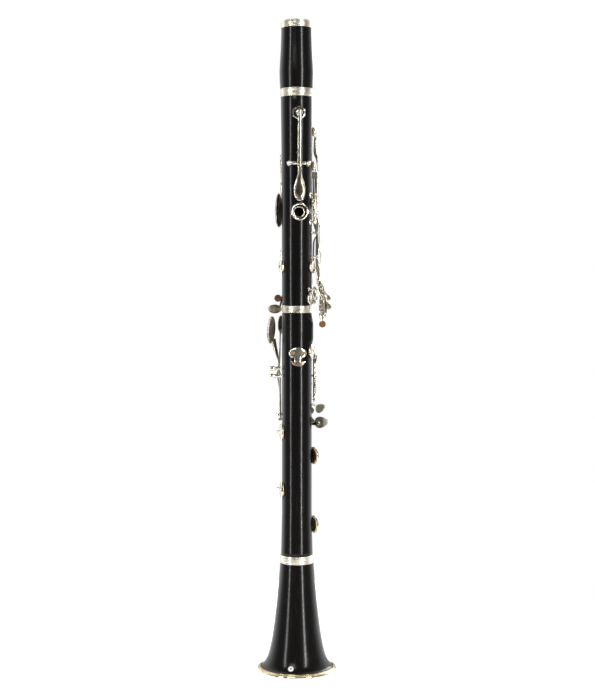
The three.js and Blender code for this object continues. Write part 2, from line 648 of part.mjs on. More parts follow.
function cSharpKey() {
  const pad = PADS.cSharp;
  const toPad = strap([on(112, 17.6, 341.3), on(95, 18.4, 341), on(78, 18, 340.5), finishCup(pad)]);
  const roundFront = strap([
    on(112, 17.7, 341), on(130, 17.3, 341), on(150, 17.3, 341), on(170, 17.3, 341),
    on(190, 17.3, 341), on(210, 17.5, 341), on(230, 17.8, 341, 3.4), on(243, 18.2, 340.8, 3.6),
  ]);
  const toTouch = strap([on(228, 17.8, 341, 3), on(234, 17.8, 336, 3), on(240, 17.6, 332, 3.4)]);
  const cork = cylinder(
    new THREE.Vector3(...C_SHARP_CORK.from), new THREE.Vector3(...C_SHARP_CORK.to),
    C_SHARP_CORK.radius, 10);
  return key(C_SHARP_HINGE, {
    closed: [
      toPad, paddedCup(pad), roundFront, toTouch, cork,
      plate(oval(8, 4.1), 1.5, LEFT_LINE, 12.6, 15.8, 330.8),
    ],
  });
}

// The four side keys: seesaw levers beside each other, each with its own pivot height.
// Along the body an arm is [height, distance from the bore, thickness]; its flared end is
// [x, y, z, facing, width]. A bumper sits on each touch, towards the thumb side.
const SIDE_R = 18.2;
const TOUCH_LINE = 160;
const BEAM = 3.4;                // thickness of a side key's long arm
const SIDE_KEYS = [
  {
    pad: PADS.side1, pivot: 400, tube: [6.8, 9], u: 8.1, wide: 2,
    rises: [[405, 17.9, BEAM], [450, 17.6, BEAM], [455, 18.4, 2], [472, 18.2], [484, 17.7]],
    falls: [[394, 18.4, 3], [366, 18.4, 3], [359, 19.6, 2]],
    flare: [[21.6, 8, 353, 115, 2.4], [24.2, 8.8, 348, 140, 2.4]],
    touch: { at: [28.9, 10.8, 340.8], size: [2, 2.6] }, bumper: { at: [29.1, 340.6], r: 1.8 },
  },
  {
    pad: PADS.side2, pivot: 400, tube: [3.8, 6.5], u: 5.2, wide: 2.4,
    rises: [[405, 17.9, BEAM], [445, 17.6, BEAM], [452, 18, 2]],
    falls: [[393, 18.8, 2], [386, 19.5], [381.5, 21.6], [374, 21.6], [369, 20], [361, 19.8]],
    flare: [[21.6, 5, 355, 115, 2.8], [23.9, 5.7, 347, 140, 3], [25.8, 6.6, 340, 155, 2.6]],
    touch: { at: [28.9, 7.2, 332.9], size: [2.2, 2.8] }, bumper: { at: [29.4, 332.7], r: 2.2 },
  },
  {
    pad: PADS.side3, pivot: 377.8, tube: [0.8, 3.2], u: 2, wide: 2.4,
    rises: [[384, 19.4], [393, 21], [406, 21], [413, 18.6]],
    falls: [[370, 20.2], [360, 20.6]],
    flare: [[22, 2, 353, 120, 2.8], [23.4, 2.3, 347, 140, 3.2]],
    touch: { at: [24.9, 3.1, 333], size: [2.8, 11] }, bumper: { at: [22.9, 326.4], r: 2.5 },
  },
  {
    pad: PADS.side4, pivot: 348.7, tube: [-6.2, -2.8], u: -4.5, wide: 2.4,
    rises: [[354, 18.8], [359, 18.4]], falls: [[345.5, 20]],
    flare: [[21.6, -3.6, 342.5, 130, 2.6]],
    touch: { at: [22.4, -3, 332], size: [2.7, 12.4] }, bumper: { at: [23.2, 317.2], r: 3.2 },
  },
];
const SIDE_POSTS = {
  400: crosswise(SIDE_LINE, SIDE_R, 400, -1.1, 11),
  377.8: crosswise(SIDE_LINE, SIDE_R, 377.8, -1.2, 5.2),
  348.7: crosswise(SIDE_LINE, SIDE_R, 348.7, -8.3, -0.8),
};

function sideKey({ pad, pivot, tube, u, wide, rises, falls, flare, touch, bumper }) {
  const hinge = crosswise(SIDE_LINE, SIDE_R, pivot, tube[0], tube[1]);
  const along = ([z, r, thick = STRAP]) => off(SIDE_LINE, u, r, z, wide, thick);
  const atPivot = along([pivot, SIDE_R + 0.4, 1.8]);
  const middle = new THREE.Vector3(...touch.at);
  const facing = outward(TOUCH_LINE);
  const neck = middle.clone().addScaledVector(facing, 0.6);
  neck.z += touch.size[1] * 0.6;
  const downwards = strap([
    atPivot, ...falls.map(along),
    ...flare.map(([x, y, z, phi, width]) => free(x, y, z, width, STRAP, phi)),
    { point: neck, facing, width: 2.2, thick: STRAP },
  ]);
  const upwards = strap([atPivot, ...rises.map(along), finishCup(pad)]);
  const button = plateAt(oval(...touch.size), 1.3, TOUCH_LINE, middle);
  const [x, z] = bumper.at;
  const disc = cylinder(
    new THREE.Vector3(x, middle.y + 0.7, z), new THREE.Vector3(x, middle.y - 1.9, z), bumper.r, 10);
  return key(hinge, { closed: [downwards, upwards, button, disc, paddedCup(pad)] });
}

// ---------------------------------------------------------------- lower joint keys

const LOWER_RING_HINGE = lengthwise(RING_LINE, RING_R, 250.2, 321);
const LOWER_RING_POSTS = lengthwise(RING_LINE, RING_R, 248, 323.2);

function lowerRingKey() {
  const pad = PADS.lowerRing;
  const rings = LOWER_FINGERS.flatMap(({ z }) => [ringShape(z), ringArm(z)]);
  const bridge = strap([
    on(RING_LINE, 18.8, 315.5, 3), on(147, 20.8, 317, 3), on(157, 21.6, 321.5, 3.2),
    on(158, 21.6, 328.6, 3.4),
  ]);
  return key(LOWER_RING_HINGE, {
    closed: [...rings, ringPadArm(pad), paddedCup(pad)], resting: [bridge], open: OPEN.lowerRing,
  });
}

const CROSS_F_SHARP_HINGE = lengthwise(112, 17.5, 249.4, 285.3);
const CROSS_F_SHARP_POSTS = lengthwise(112, 17.5, 247.3, 287.5);

function crossFSharpKey() {
  const pad = PADS.crossFSharp;
  const toPad = strap([on(112, 17.7, 281), on(100, 18.3, 285), on(86, 18, 290), finishCup(pad)]);
  const toTouch = strap([
    on(112, 17.8, 269), on(121, 20.8, 269), on(131, 22.9, 269), on(145, 22.9, 269),
    on(156, 20.4, 269), on(163, 18.6, 269),
  ]);
  return key(CROSS_F_SHARP_HINGE, {
    closed: [toPad, paddedCup(pad), toTouch, plate(oval(4.6, 2.3), 1.4, 167, 0, 17.5, 269)],
  });
}

const E_LINE = 165;
const F_LINE = 148;
const F_SHARP_LINE = 188;
const A_FLAT_LINE = 215;
const LITTLE_R = 18;
const E_HINGE = lengthwise(E_LINE, LITTLE_R, 129.4, 236.7);
const E_POSTS = lengthwise(E_LINE, LITTLE_R, 127, 239);
const F_HINGE = lengthwise(F_LINE, LITTLE_R, 190.4, 229.6);
const F_POSTS = lengthwise(F_LINE, LITTLE_R, 188, 232);
const F_SHARP_HINGE = lengthwise(F_SHARP_LINE, LITTLE_R, 160.4, 243.6);
const F_SHARP_POSTS = lengthwise(F_SHARP_LINE, LITTLE_R, 158, 246);
const A_FLAT_HINGE = lengthwise(A_FLAT_LINE, LITTLE_R, 211.4, 243.6);
const A_FLAT_POSTS = lengthwise(A_FLAT_LINE, LITTLE_R, 209, 246);

function eKey() {
  const pad = PADS.e;
  const toPad = strap([on(E_LINE, 18.3, 133), on(146, 19.2, 133), on(126, 18.6, 133), finishCup(pad)]);
  const toTouch = strap([on(E_LINE, 18.4, 227), on(158, 21.4, 227), on(150, 22.6, 227), on(140, 22.8, 227)]);
  const toLeft = strap([
    on(E_LINE, 18.4, 234), on(176, 20.8, 234), on(195, 20.8, 234), on(212, 20.8, 234),
    on(228, 20.8, 234), on(244, 20.3, 234), on(258, 17.6, 234),
  ]);
  return key(E_HINGE, {
    closed: [toPad, emptyCup(pad)], open: OPEN.e,
    resting: [toTouch, toLeft, plate(oval(4.6, 4.4), 1.5, HAND_LINE, 4.4, 22, 226.6)],
  });
}

function fKey() {
  const pad = PADS.f;
  const toPad = strap([on(F_LINE, 18.4, 196.5), on(128, 18.6, 196.5), finishCup(pad)]);
  const toTouch = strap([
    on(F_LINE, 18.3, 224), on(138, 18.2, 224.5), off(HAND_LINE, -5.5, 17.8, 225.4, 3.2),
    off(HAND_LINE, -9, 19.2, 226, 3.6),
  ]);
  return key(F_HINGE, {
    closed: [toPad, emptyCup(pad)], open: OPEN.f,
    resting: [toTouch, plate(petal(9, 5.2, -8), 1.5, HAND_LINE, -11.7, 19.4, 227)],
  });
}

function fSharpKey() {
  const pad = PADS.fSharp;
  const toPad = strap([
    on(F_SHARP_LINE, 18.4, 166.1), on(210, 19.2, 166.1), on(235, 19.2, 166.1),
    on(258, 18, 166.1), finishCup(pad),
  ]);
  const toTouch = strap([
    on(F_SHARP_LINE, 18.4, 237.5), on(180, 21, 237.5), on(168, 22.2, 237.5), on(150, 22.6, 237.5),
    on(140, 22.8, 237.5),
  ]);
  const toLeft = strap([
    on(F_SHARP_LINE, 18.3, 229.4, 2.4), on(200, 20.6, 229.4, 2.4), on(216, 20.9, 229.4, 2.4),
    on(232, 19.6, 229.4, 2.4), on(243, 18.4, 229.4, 2.4),
  ]);
  return key(F_SHARP_HINGE, {
    closed: [
      toPad, emptyCup(pad), toTouch, toLeft, plate(oval(4.4, 3.5), 1.5, HAND_LINE, 4.6, 22, 236.8),
    ],
  });
}

function aFlatKey() {
  const pad = PADS.aFlat;
  const toPad = strap([on(A_FLAT_LINE, 18.4, 218.7), on(236, 19, 218.7), on(256, 18, 218.7), finishCup(pad)]);
  const toTouch = strap([
    on(A_FLAT_LINE, 18.3, 242.2), on(205, 21, 242.2), on(190, 22.6, 242.2), on(172, 23.6, 242.2),
    on(152, 24, 242.2), on(134, 23.4, 242.2), off(HAND_LINE, -7, 21.4, 241, 3.2),
  ]);
  return key(A_FLAT_HINGE, {
    closed: [toPad, emptyCup(pad), toTouch, plate(petal(6.3, 4, -22), 1.5, HAND_LINE, -9.4, 20.6, 239.8)],
  });
}

// The left little finger's levers swing on pins held by two tall posts.
const LEFT_POSTS = [{ z: 276.9, pin: 5.7, x: -17 }, { z: 269.9, pin: 9.9, x: -18.2 }];

function leftLeverPost({ z, pin, x }) {
  const profile = [
    [0, 0], [2.4, 0], [2.4, 1.4], [1.5, 2.4], [1.5, 6], [2.4, 9.4], [2.4, 12.2], [1.6, 14.2], [0, 14.4],
  ];
  const post = turned(profile, new THREE.Vector3(-11.8, 0, z), new THREE.Vector3(-1, 0, 0), 12);
  return standingOnWood(post).add(
    cylinder(new THREE.Vector3(x, 0, z), new THREE.Vector3(x, pin, z), ROD_R));
}

const leverHinge = ({ z, x }, near, far) => (
  { from: new THREE.Vector3(x, near, z), to: new THREE.Vector3(x, far, z) });
const LEFT_E_HINGE = leverHinge(LEFT_POSTS[0], 2.7, 5.3);
const LEFT_F_SHARP_HINGE = leverHinge(LEFT_POSTS[1], 6.6, 9.5);

function leftELever() {
  const leaf = plate(oval(4.6, 12.6, 6), 1.5, LEFT_LINE, 15.7, 16.9, 311.8);
  const stem = strap([
    free(-21.6, 5, 303, 5.8, STRAP, 220), free(-20.2, 4.8, 296.5, 4.8, STRAP, 224),
    free(-18, 4.3, 289, 3.8, STRAP, 235), free(-16.3, 4, 282.5, 2.4, STRAP, 255),
    free(-17, 4, 276.9, 2.4, 2),
  ]);
  const tail = strap([
    free(-17, 4, 276.9, 2.4, 2), free(-15.8, 3.9, 272.5, 2.2), free(-15.3, 3.8, 268, 2.2),
    free(-15.3, 3.6, 233, 2.2),
  ]);
  return key(LEFT_E_HINGE, { closed: [leaf, stem, tail] });
}

function leftFSharpLever() {
  const touch = plate(oval(3.6, 8.4), 1.5, LEFT_LINE, 3.8, 17.4, 316.5);
  const stem = strap([
    free(-14.8, 10.4, 312, 3, STRAP, 225), free(-15.4, 8.6, 303, 2.4), free(-15.6, 8.2, 290, 2.2),
    free(-16.2, 8.1, 279, 2.2), free(-18, 8.1, 269.9, 2.4, 1.8),
  ]);
  const tail = strap([
    free(-18, 8.1, 269.9, 2.4, 1.8), free(-16.4, 8.1, 262, 2.2), free(-15.2, 8.1, 252, 2.2),
    free(-14.7, 8.1, 229, 2.2),
  ]);
  return key(LEFT_F_SHARP_HINGE, { closed: [touch, stem, tail] });
}

// ---------------------------------------------------------------- the instrument

const clarinet = new THREE.Group();
clarinet.name = 'clarinet';

function addNode(name, finish, manifold) {
  const { vertProperties, triVerts } = manifold.getMesh();
  const geometry = new THREE.BufferGeometry();
  geometry.setAttribute('position', new THREE.BufferAttribute(vertProperties, 3));
  geometry.setIndex(new THREE.BufferAttribute(triVerts, 1));
  const mesh = new THREE.Mesh(geometry, new THREE.MeshStandardMaterial(finish));
  mesh.name = name;
  clarinet.add(mesh);
}

addNode('barrel', WOOD, barrel());
addNode('upper_joint', WOOD, upperJoint());
addNode('lower_joint', WOOD, lowerJoint());
addNode('bell', WOOD, bell());

addNode('barrel_top_ring', SILVER, ferrule(13.2, 14.35, TOP - TOP_RING, TOP_RING));
addNode('barrel_bottom_ring', SILVER, ferrule(13.9, 15.05, BARREL_BOTTOM, BARREL_RING));
const SOCKET_RING_BOTTOM = UPPER_BOTTOM - GAP - MIDDLE_RING;
addNode('lower_joint_socket_ring', SILVER, ferrule(12.9, 13.5, SOCKET_RING_BOTTOM, MIDDLE_RING));
addNode('bell_socket_ring', SILVER, ferrule(14.2, 15.2, BELL_RING_BOTTOM, BELL_RING));
addNode('bell_rim_ring', SILVER, bellRim());
addNode('bell_inlay', INLAY, bellInlay());

addNode('upper_tenon_cork', CORK, tenonCork(TOP_TENON_R, TOP_TENON_END, UPPER_SHOULDER));
addNode('middle_tenon_cork', CORK, tenonCork(MIDDLE_TENON_R, MIDDLE_TENON_END, UPPER_BOTTOM));
addNode('lower_tenon_cork', CORK, tenonCork(BOTTOM_TENON_R, BOTTOM_TENON_END, LOWER_BOTTOM));

addNode('register_vent', SILVER, registerVent());
addNode('thumb_bush', SILVER, thumbBush());
addNode('thumb_rest', SILVER, thumbRest());
addNode('thumb_rest_screw_left', DARK_SILVER, restScrew(REST_SCREWS[0]));
addNode('thumb_rest_screw_right', DARK_SILVER, restScrew(REST_SCREWS[1]));

addNode('register_key', SILVER, registerKey());
addNode('thumb_ring_key', SILVER, thumbRingKey());
addNode('throat_a_key', SILVER, throatAKey());
addNode('throat_g_sharp_key', DARK_SILVER, throatGSharpKey());
addNode('first_ring_key', SILVER, firstRingKey());
addNode('second_ring_key', SILVER, secondRingKey());
addNode('cross_e_flat_key', SILVER, crossEFlatKey());
addNode('c_sharp_key', DARK_SILVER, cSharpKey());
SIDE_KEYS.forEach((shape, i) => addNode(`side_key_${i + 1}`, SILVER, sideKey(shape)));
addNode('lower_ring_key', SILVER, lowerRingKey());
addNode('cross_f_sharp_key', SILVER, crossFSharpKey());
addNode('a_flat_key', DARK_SILVER, aFlatKey());
addNode('f_sharp_key', DARK_SILVER, fSharpKey());
addNode('f_key', DARK_SILVER, fKey());
addNode('e_key', DARK_SILVER, eKey());
addNode('left_e_lever', DARK_SILVER, leftELever());
addNode('left_f_sharp_lever', DARK_SILVER, leftFSharpLever());

addNode('register_key_posts', SILVER, posts(REGISTER_POSTS, 2.25));
addNode('thumb_ring_posts', SILVER, posts(THUMB_RING_POSTS));
addNode('throat_a_posts', SILVER, posts(THROAT_A_POSTS));
addNode('throat_g_sharp_posts', SILVER, posts(THROAT_G_POSTS));
addNode('upper_ring_posts', SILVER, posts(UPPER_RING_POSTS, POST_BALL, [UPPER_RING_MIDDLE]));
addNode('cross_e_flat_posts', SILVER, posts(CROSS_E_FLAT_POSTS));
addNode('c_sharp_posts', SILVER, posts(C_SHARP_POSTS));
addNode('trill_key_posts', SILVER, posts(SIDE_POSTS[400], 1.7));
addNode('side_key_3_posts', SILVER, posts(SIDE_POSTS[377.8], 1.7));
addNode('side_key_4_posts', SILVER, posts(SIDE_POSTS[348.7], 1.7));
addNode('lower_ring_posts', SILVER, posts(LOWER_RING_POSTS));
addNode('cross_f_sharp_posts', SILVER, posts(CROSS_F_SHARP_POSTS, 1.7));
addNode('a_flat_posts', SILVER, posts(A_FLAT_POSTS));
addNode('f_sharp_posts', SILVER, posts(F_SHARP_POSTS));
addNode('f_posts', SILVER, posts(F_POSTS));
addNode('e_posts', SILVER, posts(E_POSTS));
addNode('left_lever_post_upper', SILVER, leftLeverPost(LEFT_POSTS[0]));
addNode('left_lever_post_lower', SILVER, leftLeverPost(LEFT_POSTS[1]));

addNode('a_flat_pad', PAD_SKIN, loosePad(PADS.aFlat));
addNode('f_sharp_pad', PAD_SKIN, loosePad(PADS.fSharp));
addNode('f_pad', PAD_SKIN, swing(loosePad(PADS.f), F_HINGE.from, UP, OPEN.f));
addNode('e_pad', PAD_SKIN, swing(loosePad(PADS.e), E_HINGE.from, UP, OPEN.e));

export default clarinet;
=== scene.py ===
"""Looks of a Boehm-system clarinet standing on its bell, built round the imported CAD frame.

Shapes are written in millimetres and scaled to metres when a mesh is made. Angles round
the body are in degrees: 0 is the thumb side (-Y), 90 is +X and 180 is the front (+Y).
"""
from math import copysign, cos, degrees, exp, pi, radians, sin, sqrt

import bmesh
import bpy
from mathutils import Matrix, Vector


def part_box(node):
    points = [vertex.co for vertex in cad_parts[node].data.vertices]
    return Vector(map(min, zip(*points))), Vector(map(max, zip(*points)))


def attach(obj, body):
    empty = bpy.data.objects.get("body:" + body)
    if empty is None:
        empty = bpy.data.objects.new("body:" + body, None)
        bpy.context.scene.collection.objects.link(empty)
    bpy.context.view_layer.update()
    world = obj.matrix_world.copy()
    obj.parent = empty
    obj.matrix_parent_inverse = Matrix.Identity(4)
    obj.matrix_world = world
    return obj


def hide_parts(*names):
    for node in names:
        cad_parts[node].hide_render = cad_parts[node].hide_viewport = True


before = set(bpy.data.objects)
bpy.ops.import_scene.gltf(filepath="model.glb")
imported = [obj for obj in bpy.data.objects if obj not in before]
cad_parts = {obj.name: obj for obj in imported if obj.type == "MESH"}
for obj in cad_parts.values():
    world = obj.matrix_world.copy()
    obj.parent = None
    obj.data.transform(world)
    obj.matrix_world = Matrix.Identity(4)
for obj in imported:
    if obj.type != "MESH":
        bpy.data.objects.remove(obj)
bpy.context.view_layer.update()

MM = 0.001
UP = Vector((0, 0, 1))
scene = bpy.context.scene


def top_of(node):
    """Highest point of a CAD node in millimetres."""
    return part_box(node)[1][2] / MM


def bottom_of(node):
    """Lowest point of a CAD node in millimetres."""
    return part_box(node)[0][2] / MM


# --- shader nodes


def shader_node(tree, kind, **values):
    """A new shader node with constants on its inputs."""
    made = tree.nodes.new("ShaderNode" + kind)
    for key, value in values.items():
        made.inputs[key.replace("_", " ")].default_value = value
    return made


def spread(tree, source, low, high, start=0.3, end=0.7):
    """A value remapped to a range."""
    made = shader_node(tree, "MapRange", From_Min=start, From_Max=end, To_Min=low, To_Max=high)
    tree.links.new(source, made.inputs["Value"])
    return made.outputs["Result"]


# --- camera and light

CAMERA_AT = Vector((0.0006, -1.27, 0.345))
CAMERA_AIM = Vector((0.0006, 0, 0.2935))


def make_camera():
    data = bpy.data.cameras.new("camera")
    data.lens = 71.8
    data.sensor_width = 36
    camera = bpy.data.objects.new("camera", data)
    camera.location = CAMERA_AT
    camera.rotation_euler = (CAMERA_AIM - CAMERA_AT).to_track_quat("-Z", "Y").to_euler()
    scene.collection.objects.link(camera)
    scene.camera = camera


def strip_light(name, azimuth, distance, height, size, power):
    """A soft box that faces the instrument. Azimuth is in degrees, 0 behind the camera."""
    data = bpy.data.lights.new(name, "AREA")
    data.shape = "RECTANGLE"
    data.size, data.size_y = size
    data.energy = power
    light = bpy.data.objects.new(name, data)
    angle = radians(azimuth)
    light.location = (distance * sin(angle), -distance * cos(angle), height)
    target = Vector((0, 0, 0.3))
    light.rotation_euler = (target - light.location).to_track_quat("-Z", "Y").to_euler()
    scene.collection.objects.link(light)


# How bright the room is in reflections, from in front of the instrument (0) to behind it (1).
ROOM_FRONT, ROOM_BEHIND = 0.2, 0.45
ROOM_STOPS = ((0.2, 0.26), (0.4, 0.3), (0.52, 0.55), (0.64, 1.4), (0.8, 2.1), (0.92, 1.3))


def make_world():
    """White where the camera looks; for reflections dark in front, grey beside, bright behind."""
    world = bpy.data.worlds.new("studio")
    world.use_nodes = True
    scene.world = world
    tree = world.node_tree
    tree.nodes.clear()
    links = tree.links
    split = shader_node(tree, "SeparateXYZ")
    shades = shader_node(tree, "ValToRGB")
    elements = shades.color_ramp.elements
    for position, grey in ROOM_STOPS:
        elements.new(position).color = (grey, grey, grey, 1)
    elements[0].color = (ROOM_FRONT, ROOM_FRONT, ROOM_FRONT, 1)
    elements[-1].color = (ROOM_BEHIND, ROOM_BEHIND, ROOM_BEHIND, 1)
    room = shader_node(tree, "Background")
    seen = shader_node(tree, "Background", Color=(1, 1, 1, 1))
    mix = shader_node(tree, "MixShader")
    links.new(shader_node(tree, "TexCoord").outputs["Generated"], split.inputs[0])
    links.new(spread(tree, split.outputs["Y"], 0, 1, -1, 1), shades.inputs["Fac"])
    links.new(shades.outputs["Color"], room.inputs["Color"])
    links.new(shader_node(tree, "LightPath").outputs["Is Camera Ray"], mix.inputs[0])
    links.new(room.outputs[0], mix.inputs[1])
    links.new(seen.outputs[0], mix.inputs[2])
    links.new(mix.outputs[0], shader_node(tree, "OutputWorld").inputs[0])


make_camera()
make_world()
strip_light("right_strip", 36, 1.6, 0.45, (0.12, 1.5), 22)
strip_light("left_strip", -48, 1.6, 0.45, (0.10, 1.5), 13)
strip_light("key_light", -18, 1.8, 1.5, (0.7, 0.7), 10)
strip_light("back_light", 150, 1.6, 1.1, (0.9, 0.9), 16)
scene.view_settings.view_transform = "Standard"

# --- materials


def new_material(name, color, roughness, metallic=0.0, **inputs):
    """A principled material; what is the same all over sits on the shader's own sockets."""
    material = bpy.data.materials.new(name)
    material.use_nodes = True
    tree = material.node_tree
    shader = tree.nodes["Principled BSDF"]
    shader.inputs["Base Color"].default_value = (*color, 1)
    shader.inputs["Roughness"].default_value = roughness
    shader.inputs["Metallic"].default_value = metallic
    for key, value in inputs.items():
        shader.inputs[key.replace("_", " ")].default_value = value
    return material, tree, shader


def noise(tree, scale, detail=4.0, rough=0.55, stretch=(1, 1, 1)):
    """Noise in object space, with its own stretch along each axis. Scale is per metre."""
    mapping = shader_node(tree, "Mapping", Scale=stretch)
    texture = shader_node(tree, "TexNoise", Scale=scale, Detail=detail, Roughness=rough)
    tree.links.new(shader_node(tree, "TexCoord").outputs["Object"], mapping.inputs["Vector"])
    tree.links.new(mapping.outputs["Vector"], texture.inputs["Vector"])
    return texture.outputs["Fac"]


def tint(tree, shader, source, stops):
    """The shader's colour taken from a value. Stops are (position, colour)."""
    made = shader_node(tree, "ValToRGB")
    elements = made.color_ramp.elements
    while len(elements) < len(stops):
        elements.new(0.5)
    for element, (position, color) in zip(elements, stops):
        element.position = position
        element.color = (*color, 1)
    tree.links.new(source, made.inputs["Fac"])
    tree.links.new(made.outputs["Color"], shader.inputs["Base Color"])


def bump(tree, shader, source, strength, depth):
    """Relief on the shader's normal; depth is in metres."""
    relief = shader_node(tree, "Bump", Strength=strength, Distance=depth)
    tree.links.new(source, relief.inputs["Height"])
    tree.links.new(relief.outputs["Normal"], shader.inputs["Normal"])


def blackwood():
    """Oiled and polished black wood: near black, brown streaks, fine open pores."""
    material, tree, shader = new_material("blackwood", (0.006, 0.005, 0.0045), 0.2, Specular_IOR_Level=0.2)
    streaks = noise(tree, 60, 5, 0.62, (9, 9, 0.35))
    pores = noise(tree, 240, 3, 0.7, (11, 11, 0.5))
    tint(tree, shader, streaks, [
        (0.35, (0.0018, 0.0017, 0.0017)), (0.58, (0.0035, 0.0029, 0.0026)), (0.78, (0.014, 0.0075, 0.005))])
    tree.links.new(spread(tree, pores, 0.12, 0.24), shader.inputs["Roughness"])
    bump(tree, shader, pores, 0.10, 0.00006)
    return material


def silver(name, pale, deep, low, high, dark=None):
    """Polished nickel silver: a warm bloom, small tarnish spots and a faint handled roughness."""
    material, tree, shader = new_material(name, pale, low, 1.0)
    patches = noise(tree, 110, 5, 0.62)
    wear = noise(tree, 700, 4, 0.65)
    tint(tree, shader, patches, [(0.32, dark or deep), (0.42, deep), (0.6, pale)])
    tree.links.new(spread(tree, wear, low, high), shader.inputs["Roughness"])
    bump(tree, shader, wear, 0.06, 0.00004)
    return material


def cork_material(name, dark, light):
    """Cork: pale ground broken by dark lenticels, with a rough cut surface."""
    material, tree, shader = new_material(name, light, 0.85)
    grains = noise(tree, 1100, 6, 0.7)
    specks = noise(tree, 420, 3, 0.5, (1, 1, 2.2))
    tint(tree, shader, specks, [(0.36, dark), (0.5, light), (0.75, tuple(min(1, c * 1.25) for c in light))])
    bump(tree, shader, grains, 0.5, 0.00015)
    return material


def pad_skin():
    """Bladder skin stretched over felt: golden, slightly wrinkled, half glossy."""
    material, tree, shader = new_material("pad_skin", (0.66, 0.47, 0.24), 0.42, Sheen_Weight=0.15)
    stains = noise(tree, 260, 5, 0.6)
    creases = noise(tree, 900, 4, 0.6, (1, 1, 0.4))
    tint(tree, shader, stains, [
        (0.3, (0.42, 0.26, 0.11)), (0.55, (0.68, 0.49, 0.26)), (0.8, (0.78, 0.64, 0.42))])
    tree.links.new(spread(tree, creases, 0.32, 0.55), shader.inputs["Roughness"])
    bump(tree, shader, creases, 0.25, 0.0001)
    return material


def dark_metal(name, deep, pale):
    """Blued steel, or a near-black metal that paints shade into hollows; slightly uneven."""
    material, tree, shader = new_material(name, pale, 0.3, 1.0)
    tint(tree, shader, noise(tree, 500, 3), [(0.3, deep), (0.7, pale)])
    return material


def pearl(name, pale, deep):
    material, tree, shader = new_material(name, pale, 0.22, Coat_Weight=0.4)
    tint(tree, shader, noise(tree, 600, 4, 0.5), [(0.35, deep), (0.65, pale)])
    return material


TARNISH = (0.24, 0.20, 0.14)
# Each finish is a material and the slot that it stands in.
FINISHES = {
    "wood": (blackwood(), "blackwood"),
    "silver": (silver("nickel_silver", (0.76, 0.73, 0.65), (0.52, 0.47, 0.39), 0.09, 0.2, TARNISH),
               "nickel_silver"),
    "ring": (silver("soft_ring_silver", (0.72, 0.69, 0.61), (0.55, 0.50, 0.41), 0.26, 0.4, TARNISH),
             "nickel_silver"),
    "gilded": (silver("worn_rim_silver", (0.66, 0.56, 0.34), (0.42, 0.32, 0.17), 0.18, 0.32),
               "nickel_silver"),
    "coppery": (silver("worn_through_silver", (0.72, 0.60, 0.46), (0.50, 0.33, 0.20), 0.16, 0.3),
                "nickel_silver"),
    "aged": (silver("aged_nickel_silver", (0.42, 0.385, 0.32), (0.25, 0.22, 0.17), 0.3, 0.48,
                    (0.12, 0.095, 0.065)), "aged_nickel_silver"),
    "dulled": (silver("dulled_nickel_silver", (0.62, 0.59, 0.52), (0.44, 0.41, 0.35), 0.5, 0.65),
               "nickel_silver"),
    # Painted shade: a near-black metal colour laid into hollows and recesses.
    "painted_shade": (dark_metal("painted_recess_shade", (0.035, 0.028, 0.022), (0.10, 0.083, 0.065)), "nickel_silver"),
    "brass": (silver("dull_brass", (0.46, 0.33, 0.17), (0.22, 0.15, 0.08), 0.3, 0.5), "screw_steel"),
    "cork": (cork_material("cork", (0.20, 0.10, 0.045), (0.46, 0.28, 0.14)), "cork"),
    "old_cork": (cork_material("old_cork", (0.045, 0.018, 0.007), (0.145, 0.058, 0.020)), "cork"),
    "skin": (pad_skin(), "pad_skin"),
    # Painted shade on the middle of the large pads, drawn with the cork shader in dark browns.
    "painted_pad_shade": (cork_material("painted_pad_shade", (0.018, 0.010, 0.005), (0.06, 0.036, 0.018)), "pad_skin"),
    "steel": (dark_metal("blued_steel", (0.03, 0.035, 0.06), (0.09, 0.08, 0.08)), "screw_steel"),
    "inlay": (pearl("inlay_pearl", (0.78, 0.77, 0.72), (0.60, 0.60, 0.57)), "inlay"),
    "inlay_grey": (pearl("inlay_grey", (0.30, 0.31, 0.31), (0.18, 0.19, 0.20)), "inlay"),
}

# --- points round the bore


def outward(phi):
    return Vector((sin(radians(phi)), -cos(radians(phi)), 0))


def across(phi):
    return Vector((cos(radians(phi)), sin(radians(phi)), 0))


def spot(phi, r, z, u=0.0):
    """A point at an angle, a distance from the bore's axis, a height and a sideways offset."""
    return outward(phi) * r + across(phi) * u + UP * z


def station(phi, r, z, width=2.6, u=0.0, thick=1.4):
    """One station of an arm: centre, the way its flat side faces, width and thickness."""
    return spot(phi, r, z, u), outward(phi), width, thick


def free_station(x, y, z, width, thick=1.4, phi=270):
    return Vector((x, y, z)), outward(phi), width, thick


WOOD_PROFILE = [
    (106.6, 14.45), (117.7, 14.17), (145, 13.57), (327.1, 13.5), (401.7, 13.67),
    (452, 13.8), (484, 14.06), (521.6, 14.5),
]


def wood_radius(z):
    for (z0, r0), (z1, r1) in zip(WOOD_PROFILE, WOOD_PROFILE[1:]):
        if z <= z1:
            return r0 + (r1 - r0) * max(z - z0, 0) / (z1 - z0)
    return WOOD_PROFILE[-1][1]


# --- mesh parts
# A part is (vertices, faces) in millimetres.


def between(points, steps):
    """Catmull-Rom curve through vectors, with so many steps to each span."""
    curve = []
    last = len(points) - 1
    for i in range(last):
        p0, p1, p2, p3 = points[max(i - 1, 0)], points[i], points[i + 1], points[min(i + 2, last)]
        for k in range(steps):
            t = k / steps
            curve.append(0.5 * ((2 * p1) + (p2 - p0) * t + (2 * p0 - 5 * p1 + 4 * p2 - p3) * t * t
                                + (3 * p1 - p0 - 3 * p2 + p3) * t ** 3))
    return curve + [points[-1]]


def smooth_line(pairs, steps=6):
    """A profile of (radius, height) pairs drawn as a smooth curve."""
    return [tuple(p) for p in between([Vector(p) for p in pairs], steps)]


